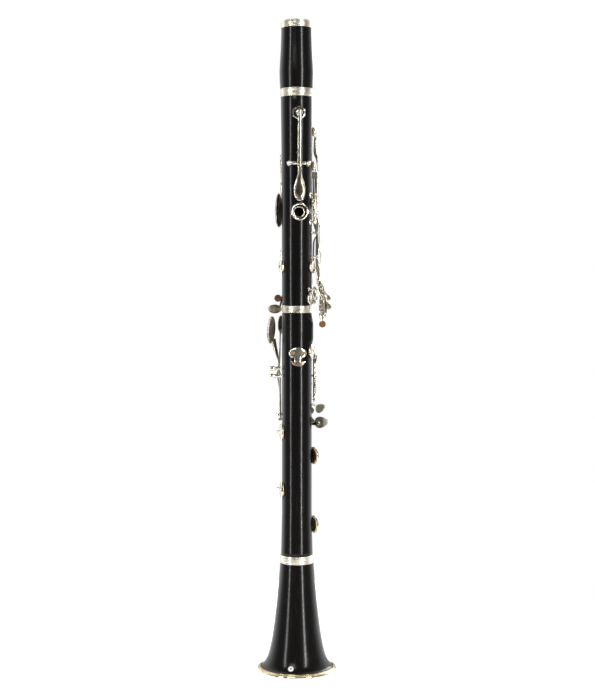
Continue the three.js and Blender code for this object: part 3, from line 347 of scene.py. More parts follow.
def fillet(points, radius=0.2, steps=3):
    """A profile with its corners rounded off."""
    closed = points[0] == points[-1]
    ring = points[:-1] if closed else points
    count = len(ring)
    result = []
    for i, here in enumerate(map(Vector, ring)):
        before, after = Vector(ring[i - 1]), Vector(ring[(i + 1) % count])
        if not closed and i in (0, count - 1) or (before - here).angle(after - here, 3.14) > 2.9:
            result.append(tuple(here))
            continue
        reach = min(radius, (before - here).length * 0.45, (after - here).length * 0.45)
        a = here + (before - here).normalized() * reach
        b = here + (after - here).normalized() * reach
        for k in range(steps + 1):
            t = k / steps
            result.append(tuple((1 - t) ** 2 * a + 2 * t * (1 - t) * here + t * t * b))
    return result + [result[0]] if closed else result


def skin(rings, closed=False):
    """Faces between rings of points; a ring of one point is a pole."""
    verts, rows, faces = [], [], []
    for ring in rings:
        rows.append(range(len(verts), len(verts) + len(ring)))
        verts += ring
    for low, high in zip(rows, rows[1:] + (rows[:1] if closed else [])):
        count = max(len(low), len(high))
        for k in range(count if count > 1 else 0):
            n = (k + 1) % count
            if len(low) == 1:
                faces.append((low[0], high[n], high[k]))
            elif len(high) == 1:
                faces.append((low[k], low[n], high[0]))
            else:
                faces.append((low[k], low[n], high[n], high[k]))
    return verts, faces


def lathe(profile, base=Vector(), axis=UP, sides=32, warp=None):
    """A profile of (radius, height) pairs turned round an axis through a point."""
    turn = UP.rotation_difference(axis)
    closed = profile[0] == profile[-1]
    rings = []
    for r, h in profile[:-1] if closed else profile:
        ring = []
        for k in range(1 if r < 1e-6 else sides):
            angle = 2 * pi * k / sides
            reach = r + (warp(degrees(angle), h, r) if warp else 0)
            ring.append(turn @ Vector((reach * sin(angle), -reach * cos(angle), h)) + base)
        rings.append(ring)
    return skin(rings, closed)


def rod(start, end, radius, sides=20, edge=0.12):
    length = (end - start).length
    profile = fillet([(0, 0), (radius, 0), (radius, length), (0, length)], edge, 2)
    return lathe(profile, start, (end - start).normalized(), sides)


def tube(start, end, outer=1.45, inner=1.15):
    length = (end - start).length
    profile = [(inner, 0), (outer, 0), (outer, length), (inner, length), (inner, 0)]
    return lathe(fillet(profile, 0.15, 2), start, (end - start).normalized(), 24)


ROUNDED_END = ((0.97, 0.25), (0.8, 0.6), (0.45, 0.89))
EDGE_POWER = 0.6


def strap(stations, steps=5, sides=16):
    """An arm with softly rounded edges and ends, swept through its stations."""
    points, facings = (between([s[i] for s in stations], steps) for i in (0, 1))
    sizes = between([Vector(s[2:]) for s in stations], steps)
    last = len(points) - 1
    centres, rings = [], []
    for i, (point, facing, size) in enumerate(zip(points, facings, sizes)):
        along = (points[min(i + 1, last)] - points[max(i - 1, 0)]).normalized()
        side = along.cross(facing).normalized()
        face = side.cross(along)
        loops = [(0, 1)]
        if i == 0:
            loops = [(-shift, scale) for shift, scale in ROUNDED_END] + loops
        if i == last:
            loops += reversed(ROUNDED_END)
        for shift, scale in loops:
            centres.append(point + along * size.y * 0.5 * shift)
            ring = []
            for k in range(sides):
                c, s = cos(2 * pi * k / sides), sin(2 * pi * k / sides)
                x = copysign(abs(c) ** EDGE_POWER, c) * size.x / 2 * scale
                y = copysign(abs(s) ** EDGE_POWER, s) * size.y / 2 * scale
                ring.append(centres[-1] + side * x + face * y)
            rings.append(ring)
    return skin([centres[:1], *rings[:-1], centres[-1:], rings[-1]])


def arm(*rows, cup=None):
    """A strap through stations, each written as the arguments of station()."""
    return strap([station(*row) for row in rows] + ([finish_cup(cup)] if cup else []))


def band(z, *rows, width=2.6, cup=None):
    """An arm round the body at one height, through (angle, distance) pairs."""
    return arm(*((phi, r, z, width) for phi, r in rows), cup=cup)


def free_arm(*rows):
    """A strap through stations, each written as the arguments of free_station()."""
    return strap([free_station(*row) for row in rows])


def outline(point_at, turn=0.0, count=56):
    """A closed outline from a function of the angle, turned in its own plane."""
    c, s = cos(radians(turn)), sin(radians(turn))
    points = [point_at(2 * pi * k / count) for k in range(count)]
    return [(x * c - y * s, x * s + y * c) for x, y in points]


def oval(half_width, half_height, turn=0.0, egg=0.0):
    """An oval outline; egg widens its lower end."""
    return outline(lambda a: (
        cos(a) * half_width * (1 - egg * sin(a)), sin(a) * half_height), turn)


def petal(half_width, half_height, turn):
    """A touch outline that is wider at its outer end."""
    return outline(lambda a: (
        half_width * cos(a), half_height * sin(a) * (1 + 0.25 * cos(a))), turn)


DOMED = [(0, 0), (0.6, 0), (0.9, 0), (0.975, 0.16), (1, 0.5), (0.98, 0.82), (0.92, 1.0),
         (0.75, 1.1), (0.4, 1.22), (0, 1.26)]
HOLLOW = [(0, 0), (0.6, 0), (0.9, 0), (0.975, 0.16), (1, 0.5), (0.99, 0.85), (0.95, 1.0), (0.88, 1.0),
          (0.8, 0.8), (0.7, 0.4), (0.55, 0.2), (0.3, 0.14), (0, 0.12)]


def leaf(edge, thick, phi, r, z, u=0.0, rows=DOMED, curl=0.0, centre=(0, 0)):
    """A finger touch: an outline shrunk through rows of (scale, height), curled round the body."""
    base = spot(phi, r, z, u)
    rings = []
    for scale, height in rows:
        ring = []
        for x, y in edge if scale > 0 else edge[:1]:
            x = centre[0] + (x - centre[0]) * scale
            y = centre[1] + (y - centre[1]) * scale
            ring.append(base + across(phi) * x + UP * y + outward(phi) * (height * thick - curl * x * x))
        rings.append(ring)
    return skin(rings)


def swung(part, origin, axis, angle):
    """A part turned about an axis."""
    turn = Matrix.Rotation(radians(angle), 4, axis)
    return [turn @ (v - origin) + origin for v in part[0]], part[1]


# --- pieces


def new_object(name, verts, faces):
    """A mesh object from points in millimetres."""
    mesh = bpy.data.meshes.new(name)
    mesh.from_pydata([v * MM for v in verts], [], faces)
    obj = bpy.data.objects.new(name, mesh)
    scene.collection.objects.link(obj)
    return obj


def piece(name, parts, body, finish, replaces=(), sharp=40):
    """One object made of parts, riding on a body, with its finish."""
    verts, faces = [], []
    for part_verts, part_faces in parts:
        start = len(verts)
        verts += part_verts
        faces += [tuple(start + i for i in face) for face in part_faces]
    obj = new_object(name, verts, faces)
    tidy_mesh(obj.data, sharp)
    material, slot = FINISHES[finish]
    obj.data.materials.append(material)
    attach(obj, body)
    if replaces:
        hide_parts(*replaces)
    return obj


def tidy_mesh(mesh, sharp):
    bm = bmesh.new()
    bm.from_mesh(mesh)
    bmesh.ops.recalc_face_normals(bm, faces=bm.faces)
    bm.to_mesh(mesh)
    bm.free()
    shade(mesh, sharp)


def shade(mesh, sharp):
    """Smooth shading with an edge wherever faces meet at more than so many degrees."""
    mesh.polygons.foreach_set("use_smooth", [True] * len(mesh.polygons))
    mesh.set_sharp_from_angle(angle=radians(sharp))


def drill(obj, cutters):
    """Cuts parts out of a piece."""
    for i, (verts, faces) in enumerate(cutters):
        cutter = new_object("cutter", verts, faces)
        tidy_mesh(cutter.data, 40)
        modifier = obj.modifiers.new(f"hole_{i}", "BOOLEAN")
        modifier.object = cutter
        modifier.solver = "EXACT"
        bpy.context.view_layer.update()
        drilled = bpy.data.meshes.new_from_object(obj.evaluated_get(bpy.context.evaluated_depsgraph_get()))
        obj.modifiers.clear()
        obj.data = drilled
        bpy.data.objects.remove(cutter)
    shade(obj.data, 34)


# --- pads and cups

GAP = 0.3
CUP = 3.2
THUMB_LINE = 7.3
VENT_Z, THUMB_Z = 506.5, 417.9
FINGER_LINE = 180
PADS = {
    "register": (THUMB_LINE, VENT_Z, 3.0, 1.3), "throat_a": (180, 500, 4.6, 2.6),
    "throat_g": (205, 463, 4.4, 2.6), "first_ring": (172, 445.6, 4.4, 2.6),
    "second_ring": (170, 376, 4.6, 2.8), "cross_e_flat": (285, 368.9, 5.8, 3.4),
    "c_sharp": (60, 340.3, 5.5, 3.4), "side_1": (104, 491.5, 4.2, 2.4),
    "side_2": (98, 460.5, 4.5, 2.6), "side_3": (84, 427, 4.5, 2.6), "side_4": (75, 368.9, 5.9, 3.5),
    "lower_ring": (172, 319.4, 4.8, 2.9), "cross_f_sharp": (70, 292.7, 6.1, 3.7),
    "a_flat": (276, 218.7, 7.6, 5.0), "f": (108, 196.5, 8.0, 5.2),
    "f_sharp": (276, 166.1, 7.9, 5.2), "e": (108, 133, 8.0, 5.3),
}
LOWER_PADS = ("lower_ring", "cross_f_sharp", "a_flat", "f", "f_sharp", "e")


def seat_radius(name):
    _, z, _, hole = PADS[name]
    return 15.9 if name == "register" else sqrt(wood_radius(z) ** 2 - (hole + 0.8) ** 2)


def cup_top(name):
    return seat_radius(name) + GAP + CUP


def finish_cup(name, lift=0.1):
    """The last station of an arm, on top of its cup."""
    return station(PADS[name][0], cup_top(name) + lift, PADS[name][1], 2.3)


def over_hole(name, profile, lift=GAP):
    """A profile turned over a tone hole, from so far above the pad's seat."""
    phi, z, _, _ = PADS[name]
    return lathe(profile, spot(phi, seat_radius(name) + lift, z), outward(phi), 40)


def cup_shell(name):
    r = PADS[name][2]
    profile = [(0, 2.0), (r - 0.55, 2.0), (r - 0.45, 0.8), (r, 0.8), (r + 0.05, 1.9), (r * 0.93, 2.35),
               (r * 0.72, 2.85), (r * 0.4, 3.12), (0, CUP)]
    return over_hole(name, fillet(profile, 0.3))


def pad_disc(name):
    _, _, r, hole = PADS[name]
    edge = r - 0.55
    ring = hole + 0.5
    profile = [(0, 0.12), (ring - 0.5, 0.12), (ring, 0.34), (ring + 0.5, 0.12), (edge - 0.55, 0.02),
               (edge - 0.12, 0.3), (edge, 0.8), (edge, 1.98), (0, 1.98)]
    return over_hole(name, fillet(profile, 0.25))


def shaded_pad_middle(name):
    """A dark disc on the middle of a large pad: painted shade."""
    r = PADS[name][2] - 1.9
    return over_hole(name, [(0, 0.04), (r, 0.04), (r, 0.3), (0, 0.3)])


def tone_hole_cutter(name):
    phi, z, r, hole = PADS[name]
    seat = seat_radius(name)
    profile = [(0, 6.0), (hole, 6.0), (hole, seat), (r + 0.55, seat), (r + 0.55, seat + 6), (0, seat + 6)]
    return lathe(profile, spot(phi, 0, z), outward(phi), 32)


def tone_hole_rim(name):
    """The low raised lip of wood that the pad closes on."""
    hole = PADS[name][3]
    profile = [(hole, -0.4), (hole + 1.0, -0.4), (hole + 0.8, 0.26), (hole, 0.26), (hole, -0.4)]
    return over_hole(name, fillet(profile, 0.2), 0)


# --- body sections

BORE_R = 7.4
BODY_SIDES = 120
TOP_RING_R, BARREL_RING_R, MIDDLE_RING_R, BELL_RING_R = 14.35, 15.05, 13.5, 15.2
UPPER_FINGERS = [(428, 3.8), (394, 3.9), (356.5, 3.6)]
LOWER_FINGERS = [(306, 4.0), (281, 4.1), (257, 3.7)]


def tenon(r, end, shoulder):
    """A tenon's outline from its end to its shoulder, with the groove for its cork."""
    step = copysign(1, shoulder - end)
    return [(r - 0.4, end), (r, end + 0.4 * step), (r, end + 3 * step), (r - 1, end + 3 * step),
            (r - 1, shoulder - 3.4 * step), (r, shoulder - 3.4 * step), (r, shoulder)]


def tenon_cork(name, r):
    low, high = bottom_of(name), top_of(name)
    middle = (low + high) / 2
    profile = [(r - 0.9, low), (r, low), (r + 0.24, middle), (r, high), (r - 0.9, high), (r - 0.9, low)]
    piece(name, [lathe(fillet(profile, 0.3), sides=72)],
          "lower_joint" if name.startswith("lower") else "upper_joint", "cork", [name])


def chimney(z, hole):
    """A raised finger-hole rim turned in the wood."""
    profile = [(hole, 6.5), (5.4, 6.5), (5.4, 15.6), (hole + 0.25, 15.6), (hole, 15.2), (hole, 6.5)]
    return lathe(fillet(profile, 0.45, 4), spot(FINGER_LINE, 0, z), outward(FINGER_LINE), 48)


def across_bore(phi, z, radius, sides):
    """A cutter that reaches from the bore out through the wood."""
    return lathe([(0, 6), (radius, 6), (radius, 18), (0, 18)], spot(phi, 0, z), outward(phi), sides)


def finger_cutter(z, hole):
    return across_bore(FINGER_LINE, z, hole + 0.6, 32)


def wooden(name, profile, radius=0.12, steps=2, warp=None):
    """A section of the body turned in wood."""
    part = lathe(fillet(profile, radius, steps), sides=BODY_SIDES, warp=warp)
    return piece(name + "_wood", [part], name, "wood", [name])


def cut_holes(wood, half, fingers, names, more=()):
    """Cuts the holes of a joint, and adds the raised rims of its finger holes and tone holes."""
    drill(wood, [*more, *(finger_cutter(*f) for f in fingers), *map(tone_hole_cutter, names)])
    rims = [*(chimney(*f) for f in fingers), *map(tone_hole_rim, names)]
    piece(half + "_hole_rims", rims, half + "_joint", "wood")


def barrel():
    low, high = bottom_of("barrel"), top_of("barrel_top_ring")
    bulge = smooth_line([(15.05, 529.7), (15.35, 534.4), (15.64, 543.6), (15.56, 548.2),
                         (15.04, 557.3), (14.5, 566.5), (14.19, 575.6), (14.07, 583.2)])
    profile = [(11.55, low), (13.6, low), (13.6, 529.7), *bulge, (12.9, 583.2), (12.9, high - GAP),
               (11.4, high - GAP), (11.4, 573), (BORE_R, 573), (BORE_R, 539.7), (11.55, 539.7),
               (11.55, low)]
    wooden("barrel", profile, 0.2, 3)


def upper_joint():
    low, shoulder = 334.2, 521.6
    sides = [(wood_radius(z), z) for z in range(340, 520, 5)]
    profile = [(BORE_R, bottom_of("upper_joint")), *tenon(10.9, bottom_of("upper_joint"), low),
               (wood_radius(low), low), *sides, (wood_radius(shoulder), shoulder),
               *reversed(tenon(11.0, top_of("upper_joint"), shoulder)), (BORE_R, top_of("upper_joint")),
               (BORE_R, bottom_of("upper_joint"))]
    wood = wooden("upper_joint", profile)
    names = [n for n in PADS if n not in LOWER_PADS and n != "register"]
    cut_holes(wood, "upper", UPPER_FINGERS, names, [
        across_bore(THUMB_LINE, VENT_Z, 2.5, 24), across_bore(THUMB_LINE, THUMB_Z, 5.2, 40)])


def swelling(angle, z, r):
    """The wood is left thicker on the right, where a tone hole's wall needs it."""
    if r < 13:
        return 0
    turn = (angle - 72 + 180) % 360 - 180
    return 1.9 * exp(-(turn / 22) ** 2 - (max(abs(z - 311) - 6, 0) / 6) ** 2)


def lower_joint():
    neck = bottom_of("lower_joint_socket_ring")
    end = bottom_of("lower_joint")
    sides = [(wood_radius(z), z) for z in (106.6, *range(110, 290, 5), *range(292, 326, 2), 327)]
    profile = [(9.6, end), *tenon(11.9, end, 106.6), *sides, (13.5, neck - GAP), (12.6, neck - GAP),
               (12.6, 333.9), (11.45, 333.9), (11.45, 315.4), (BORE_R, 315.4), (BORE_R, 170), (8.1, 125),
               (9.6, end)]
    cut_holes(wooden("lower_joint", profile, warp=swelling), "lower", LOWER_FINGERS, LOWER_PADS)


INLAY_LINE = -10.6


def bell():
    neck = top_of("bell_socket_ring")
    flare = smooth_line([
        (15.3, 98.6), (15.42, 95.7), (15.87, 90.2), (16.59, 81.1), (17.5, 71.9), (18.45, 62.7),
        (19.58, 53.6), (20.72, 44.4), (21.98, 35.3), (23.6, 26.1), (24.58, 21.5), (25.7, 16.9),
        (27.18, 12.4), (29.3, 8.2), (31.4, 5.5), (33.3, 4.3)])
    inside = smooth_line([(32.6, GAP), (28.6, 3.6), (25.2, 8.6), (22.2, 17), (18.4, 35.3), (14.6, 62.7),
                          (9.8, 90.4)])
    profile = [(12.45, neck), (13.9, neck), (13.9, 98.6), *flare, (33.3, GAP), *inside, (12.45, 90.4),
               (12.45, neck)]
    wood = wooden("bell", profile, 0.15)
    tilt = (outward(INLAY_LINE) + UP * 0.9).normalized()
    centre = spot(INLAY_LINE, 29.4, 8.1)
    drill(wood, [lathe([(0, 0), (2.65, 0), (2.65, 5), (0, 5)], centre - tilt * 1.2, tilt, 40)])
    ring = fillet([(1.1, -1.0), (2.55, -1.0), (2.55, -0.02), (1.1, -0.02), (1.1, -1.0)])
    piece("bell_inlay_ring", [lathe(ring, centre, tilt, 40)], "bell", "inlay", ["bell_inlay"])
    disc = fillet([(0, -1.0), (1.05, -1.0), (1.05, -0.02), (0, -0.02)])
    piece("bell_inlay_centre", [lathe(disc, centre, tilt, 32)], "bell", "inlay_grey")


def ferrule(name, body, inner, outer, beads):
    """A turned metal ring. Beads are (share of its height, depth) grooves."""
    low, high = bottom_of(name), top_of(name)
    height = high - low
    rim = [(outer - 0.25, low), (outer, low + 0.25)]
    for share, depth in beads:
        centre = low + share * height
        rim += [(outer, centre - 0.34), (outer - depth, centre - 0.12), (outer - depth, centre + 0.12),
                (outer, centre + 0.34)]
    rim += [(outer, high - 0.25), (outer - 0.25, high)]
    profile = [(inner, low), *rim, (inner, high), (inner, low)]
    piece(name + "_metal", [lathe(fillet(profile, 0.12, 2), sides=BODY_SIDES)], body, "ring", [name])


def bell_rim():
    """The bead round the bell's edge: bright outside, its worn upper lip yellower."""
    bead = [(33.6, 0.25), (33.9, 0), (36.2, 0), (36.65, 0.35), (36.7, 1.2), (36.6, 1.9), (36.3, 2.45),
            (36.0, 2.6), (33.6, 2.6), (33.6, 0.25)]
    lip = [(33.6, 2.6), (36.0, 2.6), (36.05, 2.95), (35.9, 3.2), (35.4, 3.5), (34.6, 3.6), (34.4, 4.05),
           (33.6, 4.1), (33.6, 2.6)]
    piece("bell_rim_metal", [lathe(fillet(bead, 0.2), sides=160)], "bell", "silver", ["bell_rim_ring"])
    piece("bell_rim_lip", [lathe(fillet(lip, 0.12), sides=160)], "bell", "gilded")


barrel()
upper_joint()
lower_joint()
bell()
ferrule("barrel_top_ring", "barrel", 13.2, TOP_RING_R, [(0.2, 0.35), (0.72, 0.45), (0.86, 0.2)])
ferrule("barrel_bottom_ring", "barrel", 13.9, BARREL_RING_R, [(0.16, 0.3), (0.3, 0.45), (0.84, 0.4)])
ferrule("lower_joint_socket_ring", "lower_joint", 12.9, MIDDLE_RING_R, [(0.2, 0.3), (0.5, 0.4), (0.8, 0.3)])
ferrule("bell_socket_ring", "bell", 14.2, BELL_RING_R, [(0.18, 0.35), (0.5, 0.3), (0.8, 0.4)])
bell_rim()
tenon_cork("upper_tenon_cork", 11.0)
tenon_cork("middle_tenon_cork", 10.9)
tenon_cork("lower_tenon_cork", 11.9)

# --- fittings on the back


def register_vent():
    """A hexagonal flange with a round recess, and the vent tube standing in it."""
    sides = 48
    rings = []
    for reach, r in ((6.35, 11.4), (6.35, 14.75), (6.0, 15.15), (5.0, 15.25), (4.85, 15.1), (4.7, 14.2),
                     (2.05, 14.0), (2.05, 15.5), (1.85, 15.75), (1.4, 15.75), (1.4, 8.7), (2.05, 8.7),
                     (2.05, 11.4)):
        ring = []
        for angle in (360 * k / sides for k in range(sides)):
            flat = cos(radians(30)) / cos(radians(angle % 60 - 30))
            out = reach * (flat if reach > 5.5 else 1)
            ring.append(spot(THUMB_LINE, r, VENT_Z + out * cos(radians(angle)),
                             out * sin(radians(angle))))
        rings.append(ring)
    metal = skin(rings, True)
    piece("register_vent_metal", [metal], "upper_joint", "silver", ["register_vent"], 25)
    # A dark ring on the floor of the recess round the vent tube: painted shade in the recess.
    profile = [(2.15, 14.05), (4.7, 14.25), (4.8, 15.0), (4.55, 15.0), (4.45, 14.5), (2.15, 14.3),
               (2.15, 14.05)]
    shade_ring = lathe(profile, spot(THUMB_LINE, 0, VENT_Z), outward(THUMB_LINE), 40)
    piece("register_vent_shade", [shade_ring], "upper_joint", "painted_shade")


def thumb_bush():
    profile = [(4.1, 8.6), (4.9, 8.6), (4.9, 13.4), (5.3, 13.4), (5.3, 15.5), (5.1, 15.95), (4.5, 16.0),
               (4.1, 15.7), (4.1, 8.6)]
    part = lathe(fillet(profile, 0.2), spot(THUMB_LINE, 0, THUMB_Z), outward(THUMB_LINE), 48)
    piece("thumb_bush_metal", [part], "upper_joint", "silver", ["thumb_bush"])


REST_LINE = 3


def thumb_rest():
    """An egg-shaped plate with two screws and a crescent shelf that lies on the thumb."""
    plate = leaf(oval(8.0, 5.1, 0, 0.06), 1.5, REST_LINE, 14.25, 291.3, 0, curl=0.012)
    foot = leaf(oval(7.6, 4.8), 3.2, REST_LINE, 11.6, 291.3)
    neck = arm((REST_LINE, 15.1, 289, 7, 0, 1.6), (REST_LINE, 15.3, 285.6, 6.2, 0, 1.8),
               (REST_LINE, 15.6, 283.4, 6, 0, 2.0))
    shares = [k / 9 - 1 for k in range(19)]
    top = [(6.4 * share, 283.6 + share * share) for share in shares]
    bottom = [(6.4 * share, 279.9 + 3.9 * abs(share) ** 2.2) for share in shares]
    centre = (0, 282.2)
    rings = []
    for shrink, r in ((0, 14.6), (0.9, 14.6), (1, 14.9), (1, 25.6), (0.985, 26.1), (0.9, 26.35), (0, 26.4)):
        edge = top + bottom[::-1] if shrink else [centre]
        rings.append([spot(REST_LINE, r, centre[1] + (z - centre[1]) * shrink, u * shrink) for u,
                      z in edge])
    piece("thumb_rest_metal", [plate, foot, neck], "lower_joint", "silver", ["thumb_rest"])
    piece("thumb_rest_shelf", [skin(rings)], "lower_joint", "coppery")
    for side, u in (("left", -4.5), ("right", 5.4)):
        head = slotted_head(spot(REST_LINE, 15.7, 291.2, u), outward(REST_LINE), 1.55, 0.9, 30)
        piece(f"thumb_rest_screw_{side}_head", head, "lower_joint", "brass", [f"thumb_rest_screw_{side}"])


def slotted_head(base, axis, radius, height, turn=0.0, slot=0.34):
    """A screw head: a disc under two half domes with a slot between them."""
    parts = [rod(base, base + axis * height * 0.5, radius, 28, 0.1)]
    side = axis.cross(UP if abs(axis.z) < 0.9 else Vector((1, 0, 0))).normalized()
    side = Matrix.Rotation(radians(turn), 3, axis) @ side
    up = axis.cross(side)
    for sign in (-1, 1):
        middle = base + up * sign * radius * 0.4
        rings = [[middle + axis * height * 0.4]]
        for scale, level in ((1, 0.4), (1, 0.75), (0.9, 0.93), (0.6, 1.0)):
            ring = []
            for k in range(14):
                angle = pi * k / 13
                x = radius * scale * cos(angle)
                y = max(radius * scale * sin(angle), slot / 2) * sign
                ring.append(base + side * x + up * y + axis * height * level)
            rings.append(ring)
        parts.append(skin([*rings, [middle + axis * height]]))
    return parts


register_vent()
thumb_bush()
thumb_rest()

# --- posts, rods and springs

ROD_R = 0.88


def lengthwise(phi, r, low, high):
    return spot(phi, r, low), spot(phi, r, high), -outward(phi)


def crosswise(phi, r, z, left, right):
    return spot(phi, r, z, left), spot(phi, r, z, right), -outward(phi)


def post(head, down, r):
    """One turned post: ball, waist and the collar that stands on the wood."""
    sideways = abs(Vector((head.x, head.y, 0)).cross(down).z)
    surface = sqrt(max(wood_radius(head.z) ** 2 - sideways ** 2, 1))
    length = -Vector((head.x, head.y, 0)).dot(down) - surface + 0.25
    ball = [(r * cos(radians(a)), r * sin(radians(a))) for a in range(-75, 56, 13)]
    waist = max(length - 1.5, r + 0.2)
    profile = [(0, -r), *ball, (0.62 * r, r * 0.92), (0.56 * r, waist), (1.5, length - 0.9),
               (2.3, length - 0.7), (2.3, length), (0, length)]
    return lathe(fillet(profile, 0.18), head, down, 28)


def posts(node, hinge, body="upper_joint", r=1.8, middles=(), spring=None):
    start, end, down = hinge
    axis = (end - start).normalized()
    parts = [post(head, down, r) for head in (start, end, *middles)]
    parts.append(rod(start, end, ROD_R))
    parts += slotted_head(end + axis * r * 0.8, axis, 0.95, 0.5, 40)
    parts += slotted_head(start - axis * r * 0.8, -axis, 0.95, 0.5, 75)
    piece(node + "_metal", parts, body, "silver", [node])
    if spring:
        lift = -down.cross(axis) * spring
        root = start + down * 0.4
        wire = [(root + axis * far + lift * bend, down, 0.5, 0.5)
                for far, bend in ((-1.2, 0), (2, 0.1), (9, 1.1), (15, 1.9))]
        piece(node + "_spring", [strap(wire, 4, 8)], body, "steel")


# --- keys

# Trim of a key: the end of the piece's name and its finish.
# One trim paints shade into the hollow of the register key's spoon.
TRIM = {"dull": ("leaf", "dulled"), "corks": ("cork", "old_cork"), "pits": ("hollow", "painted_shade"),
        "springs": ("spring", "steel")}


def key(name, hinge, metal=(), resting=(), cup=None, touch=(), dark=(), swing=0.0, own_pad=False, **trim):
    """One key on its own body. Metal, cup and touch are drawn shut and swung open together.
    A pad that is a node of its own in the CAD is replaced by the pad's piece."""
    start, end, _ = hinge
    axis = (end - start).normalized()
    turn = lambda parts: [swung(p, start, axis, swing) for p in parts]
    shell = [cup_shell(cup)] if cup else []
    collars = [tube(start, start + axis * 2.2, 1.65), tube(end - axis * 2.2, end, 1.65)]
    bright = [tube(start, end), *collars, *resting, *turn([*metal, *shell, *touch])]
    piece(name + "_metal", bright, name, "silver", [name])
    if dark:
        piece(name + "_touch", list(dark), name, "aged")
    if cup:
        pad = piece(name + "_pad_skin", turn([pad_disc(cup)]), name, "skin",
                    [cup + "_pad"] if own_pad else ())
    if own_pad:
        # A dark disc over the middle of the pad's face: painted shade.
        piece(name + "_shaded_pad_middle", turn([shaded_pad_middle(cup)]), name, "painted_pad_shade")
    for kind, parts in trim.items():
        if parts:
            piece(f"{name}_{TRIM[kind][0]}", parts, name, TRIM[kind][1])


HALF_SPOON = [(2.6, -13.9), (4.5, -10.6), (5.2, -5.4), (4.7, -0.6), (3.1, 4.2), (1.9, 9.2), (1.5, 14.2),
              (1.2, 15.6)]
SPOON = smooth_line([(0, -14.8), *HALF_SPOON, *((-x, y) for x, y in HALF_SPOON[::-1]), (0, -14.8)], 4)[:-1]

key("register_key", crosswise(THUMB_LINE, 17, 461.4, -5.7, 5.7), cup="register", metal=[
    arm((THUMB_LINE, 18.6, 455.5, 3.0), (THUMB_LINE, 17.7, 461.4, 3.4, 0, 1.8),
        (THUMB_LINE, 18.3, 470, 3.1), (THUMB_LINE, 19, 488, 3.1), (THUMB_LINE, 19.1, 499, 3.0),
        (THUMB_LINE, cup_top("register") - 0.1, 507.5, 2.8)),
], touch=[leaf(SPOON, 1.6, THUMB_LINE, 18, 442.4, 0, HOLLOW, centre=(0, -5))],
    # A dark layer in the middle of the spoon's hollow: painted shade.
    pits=[leaf([(x * 0.6, -5 + (y + 5) * 0.62) for x, y in SPOON], 0.3, THUMB_LINE, 18.22, 442.4)])
posts("register_key_posts", crosswise(THUMB_LINE, 17, 461.4, -8.25, 8.25), r=2.2)


def finger_ring(phi, r, z, inner, outer, thick):
    profile = [(inner, 0), (outer, 0), (outer, thick), (inner, thick), (inner, 0)]
    return lathe(fillet(profile, thick * 0.42, 4), spot(phi, r, z), outward(phi), 56)


key("thumb_ring_key", lengthwise(61.5, 18.4, 411.4, 431.2), swing=5.5, metal=[
    finger_ring(THUMB_LINE, 14.4, 418.2, 6.2, 7.8, 1.5),
    arm((THUMB_LINE, 15.2, 418.2, 5.4, 7.1), (40, 17.4, 418.2, 2.9), (61.5, 18.6, 418.2, 2.8))])
posts("thumb_ring_posts", lengthwise(61.5, 18.4, 409.2, 433.4), spring=1)

key("throat_a_key", crosswise(180, 17.6, 474, -3.3, 3.3), cup="throat_a", metal=[
    arm((180, 20.6, 464, 4), (180, 19.4, 470, 3), (180, 17.9, 474, 3, 0, 1.8), (180, 18.6, 481),
        (180, 18.6, 492), (180, cup_top("throat_a"), 500.5)),
], touch=[leaf(oval(3.9, 8), 1.5, 180, 20, 460.6)])
posts("throat_a_posts", crosswise(180, 17.6, 474, -5.5, 5.5))

key("throat_g_sharp_key", lengthwise(230, 18, 411.2, 467.8), cup="throat_g", metal=[
    band(463, (230, 18.4), (217, 18.1), cup="throat_g"),
    arm((230, 18.2, 425, 5), (233, 16.9, 423, 5, 4), (233, 15.8, 421, 5, 7)),
], dark=[leaf(oval(5.3, 15.4, 0, 0.08), 1.5, 233, 15, 420.5, 6.4, curl=0.012)])
posts("throat_g_sharp_posts", lengthwise(230, 18, 409, 470), spring=-1)

RING_LINE, RING_R, RING_DOWN, RING_OPEN = 138, 18.6, 14.3, -6.5


def ring_and_arm(z):
    return [finger_ring(FINGER_LINE, RING_DOWN, z, 5.9, 7.4, 1.4),
            arm((RING_LINE, 18.7, z, 3.2), (149, 18, z, 3), (FINGER_LINE, RING_DOWN + 0.8, z, 3.6, -6.7))]


def ring_pad_arm(name):
    z = PADS[name][1]
    return band(z, (RING_LINE, 18.9), (155, 18.4), cup=name)


key("first_ring_key", lengthwise(RING_LINE, RING_R, 418.8, 452.7), swing=RING_OPEN, cup="first_ring",
    metal=[*ring_and_arm(428), ring_pad_arm("first_ring")])
key("second_ring_key", lengthwise(RING_LINE, RING_R, 350.2, 414.2), swing=RING_OPEN, cup="second_ring",
    metal=[*ring_and_arm(394), ring_pad_arm("second_ring")],
    resting=[arm((RING_LINE, 18.8, 361, 3, 0, 1.8), (140, 20.6, 356, 3), (145, 21.6, 350, 3),
                 (152, 20.6, 342.5, 3), (158, 19.1, 335, 3.3), (158, 18.8, 324, 3.5))])
posts("upper_ring_posts", lengthwise(RING_LINE, RING_R, 348, 455),
      middles=[spot(RING_LINE, RING_R, 416.5)], spring=1)

key("cross_e_flat_key", lengthwise(230, 17.5, 362.2, 381.8), cup="cross_e_flat", metal=[
    band(368.9, (230, 17.8), (250, 18.2), (268, 18), cup="cross_e_flat"),
    band(378, (230, 17.8), (219, 18.6), (210, 18.3)),
], touch=[leaf(oval(4.4, 2.5), 1.3, 205, 17.5, 378)])
posts("cross_e_flat_posts", lengthwise(230, 17.5, 360, 384), spring=1)

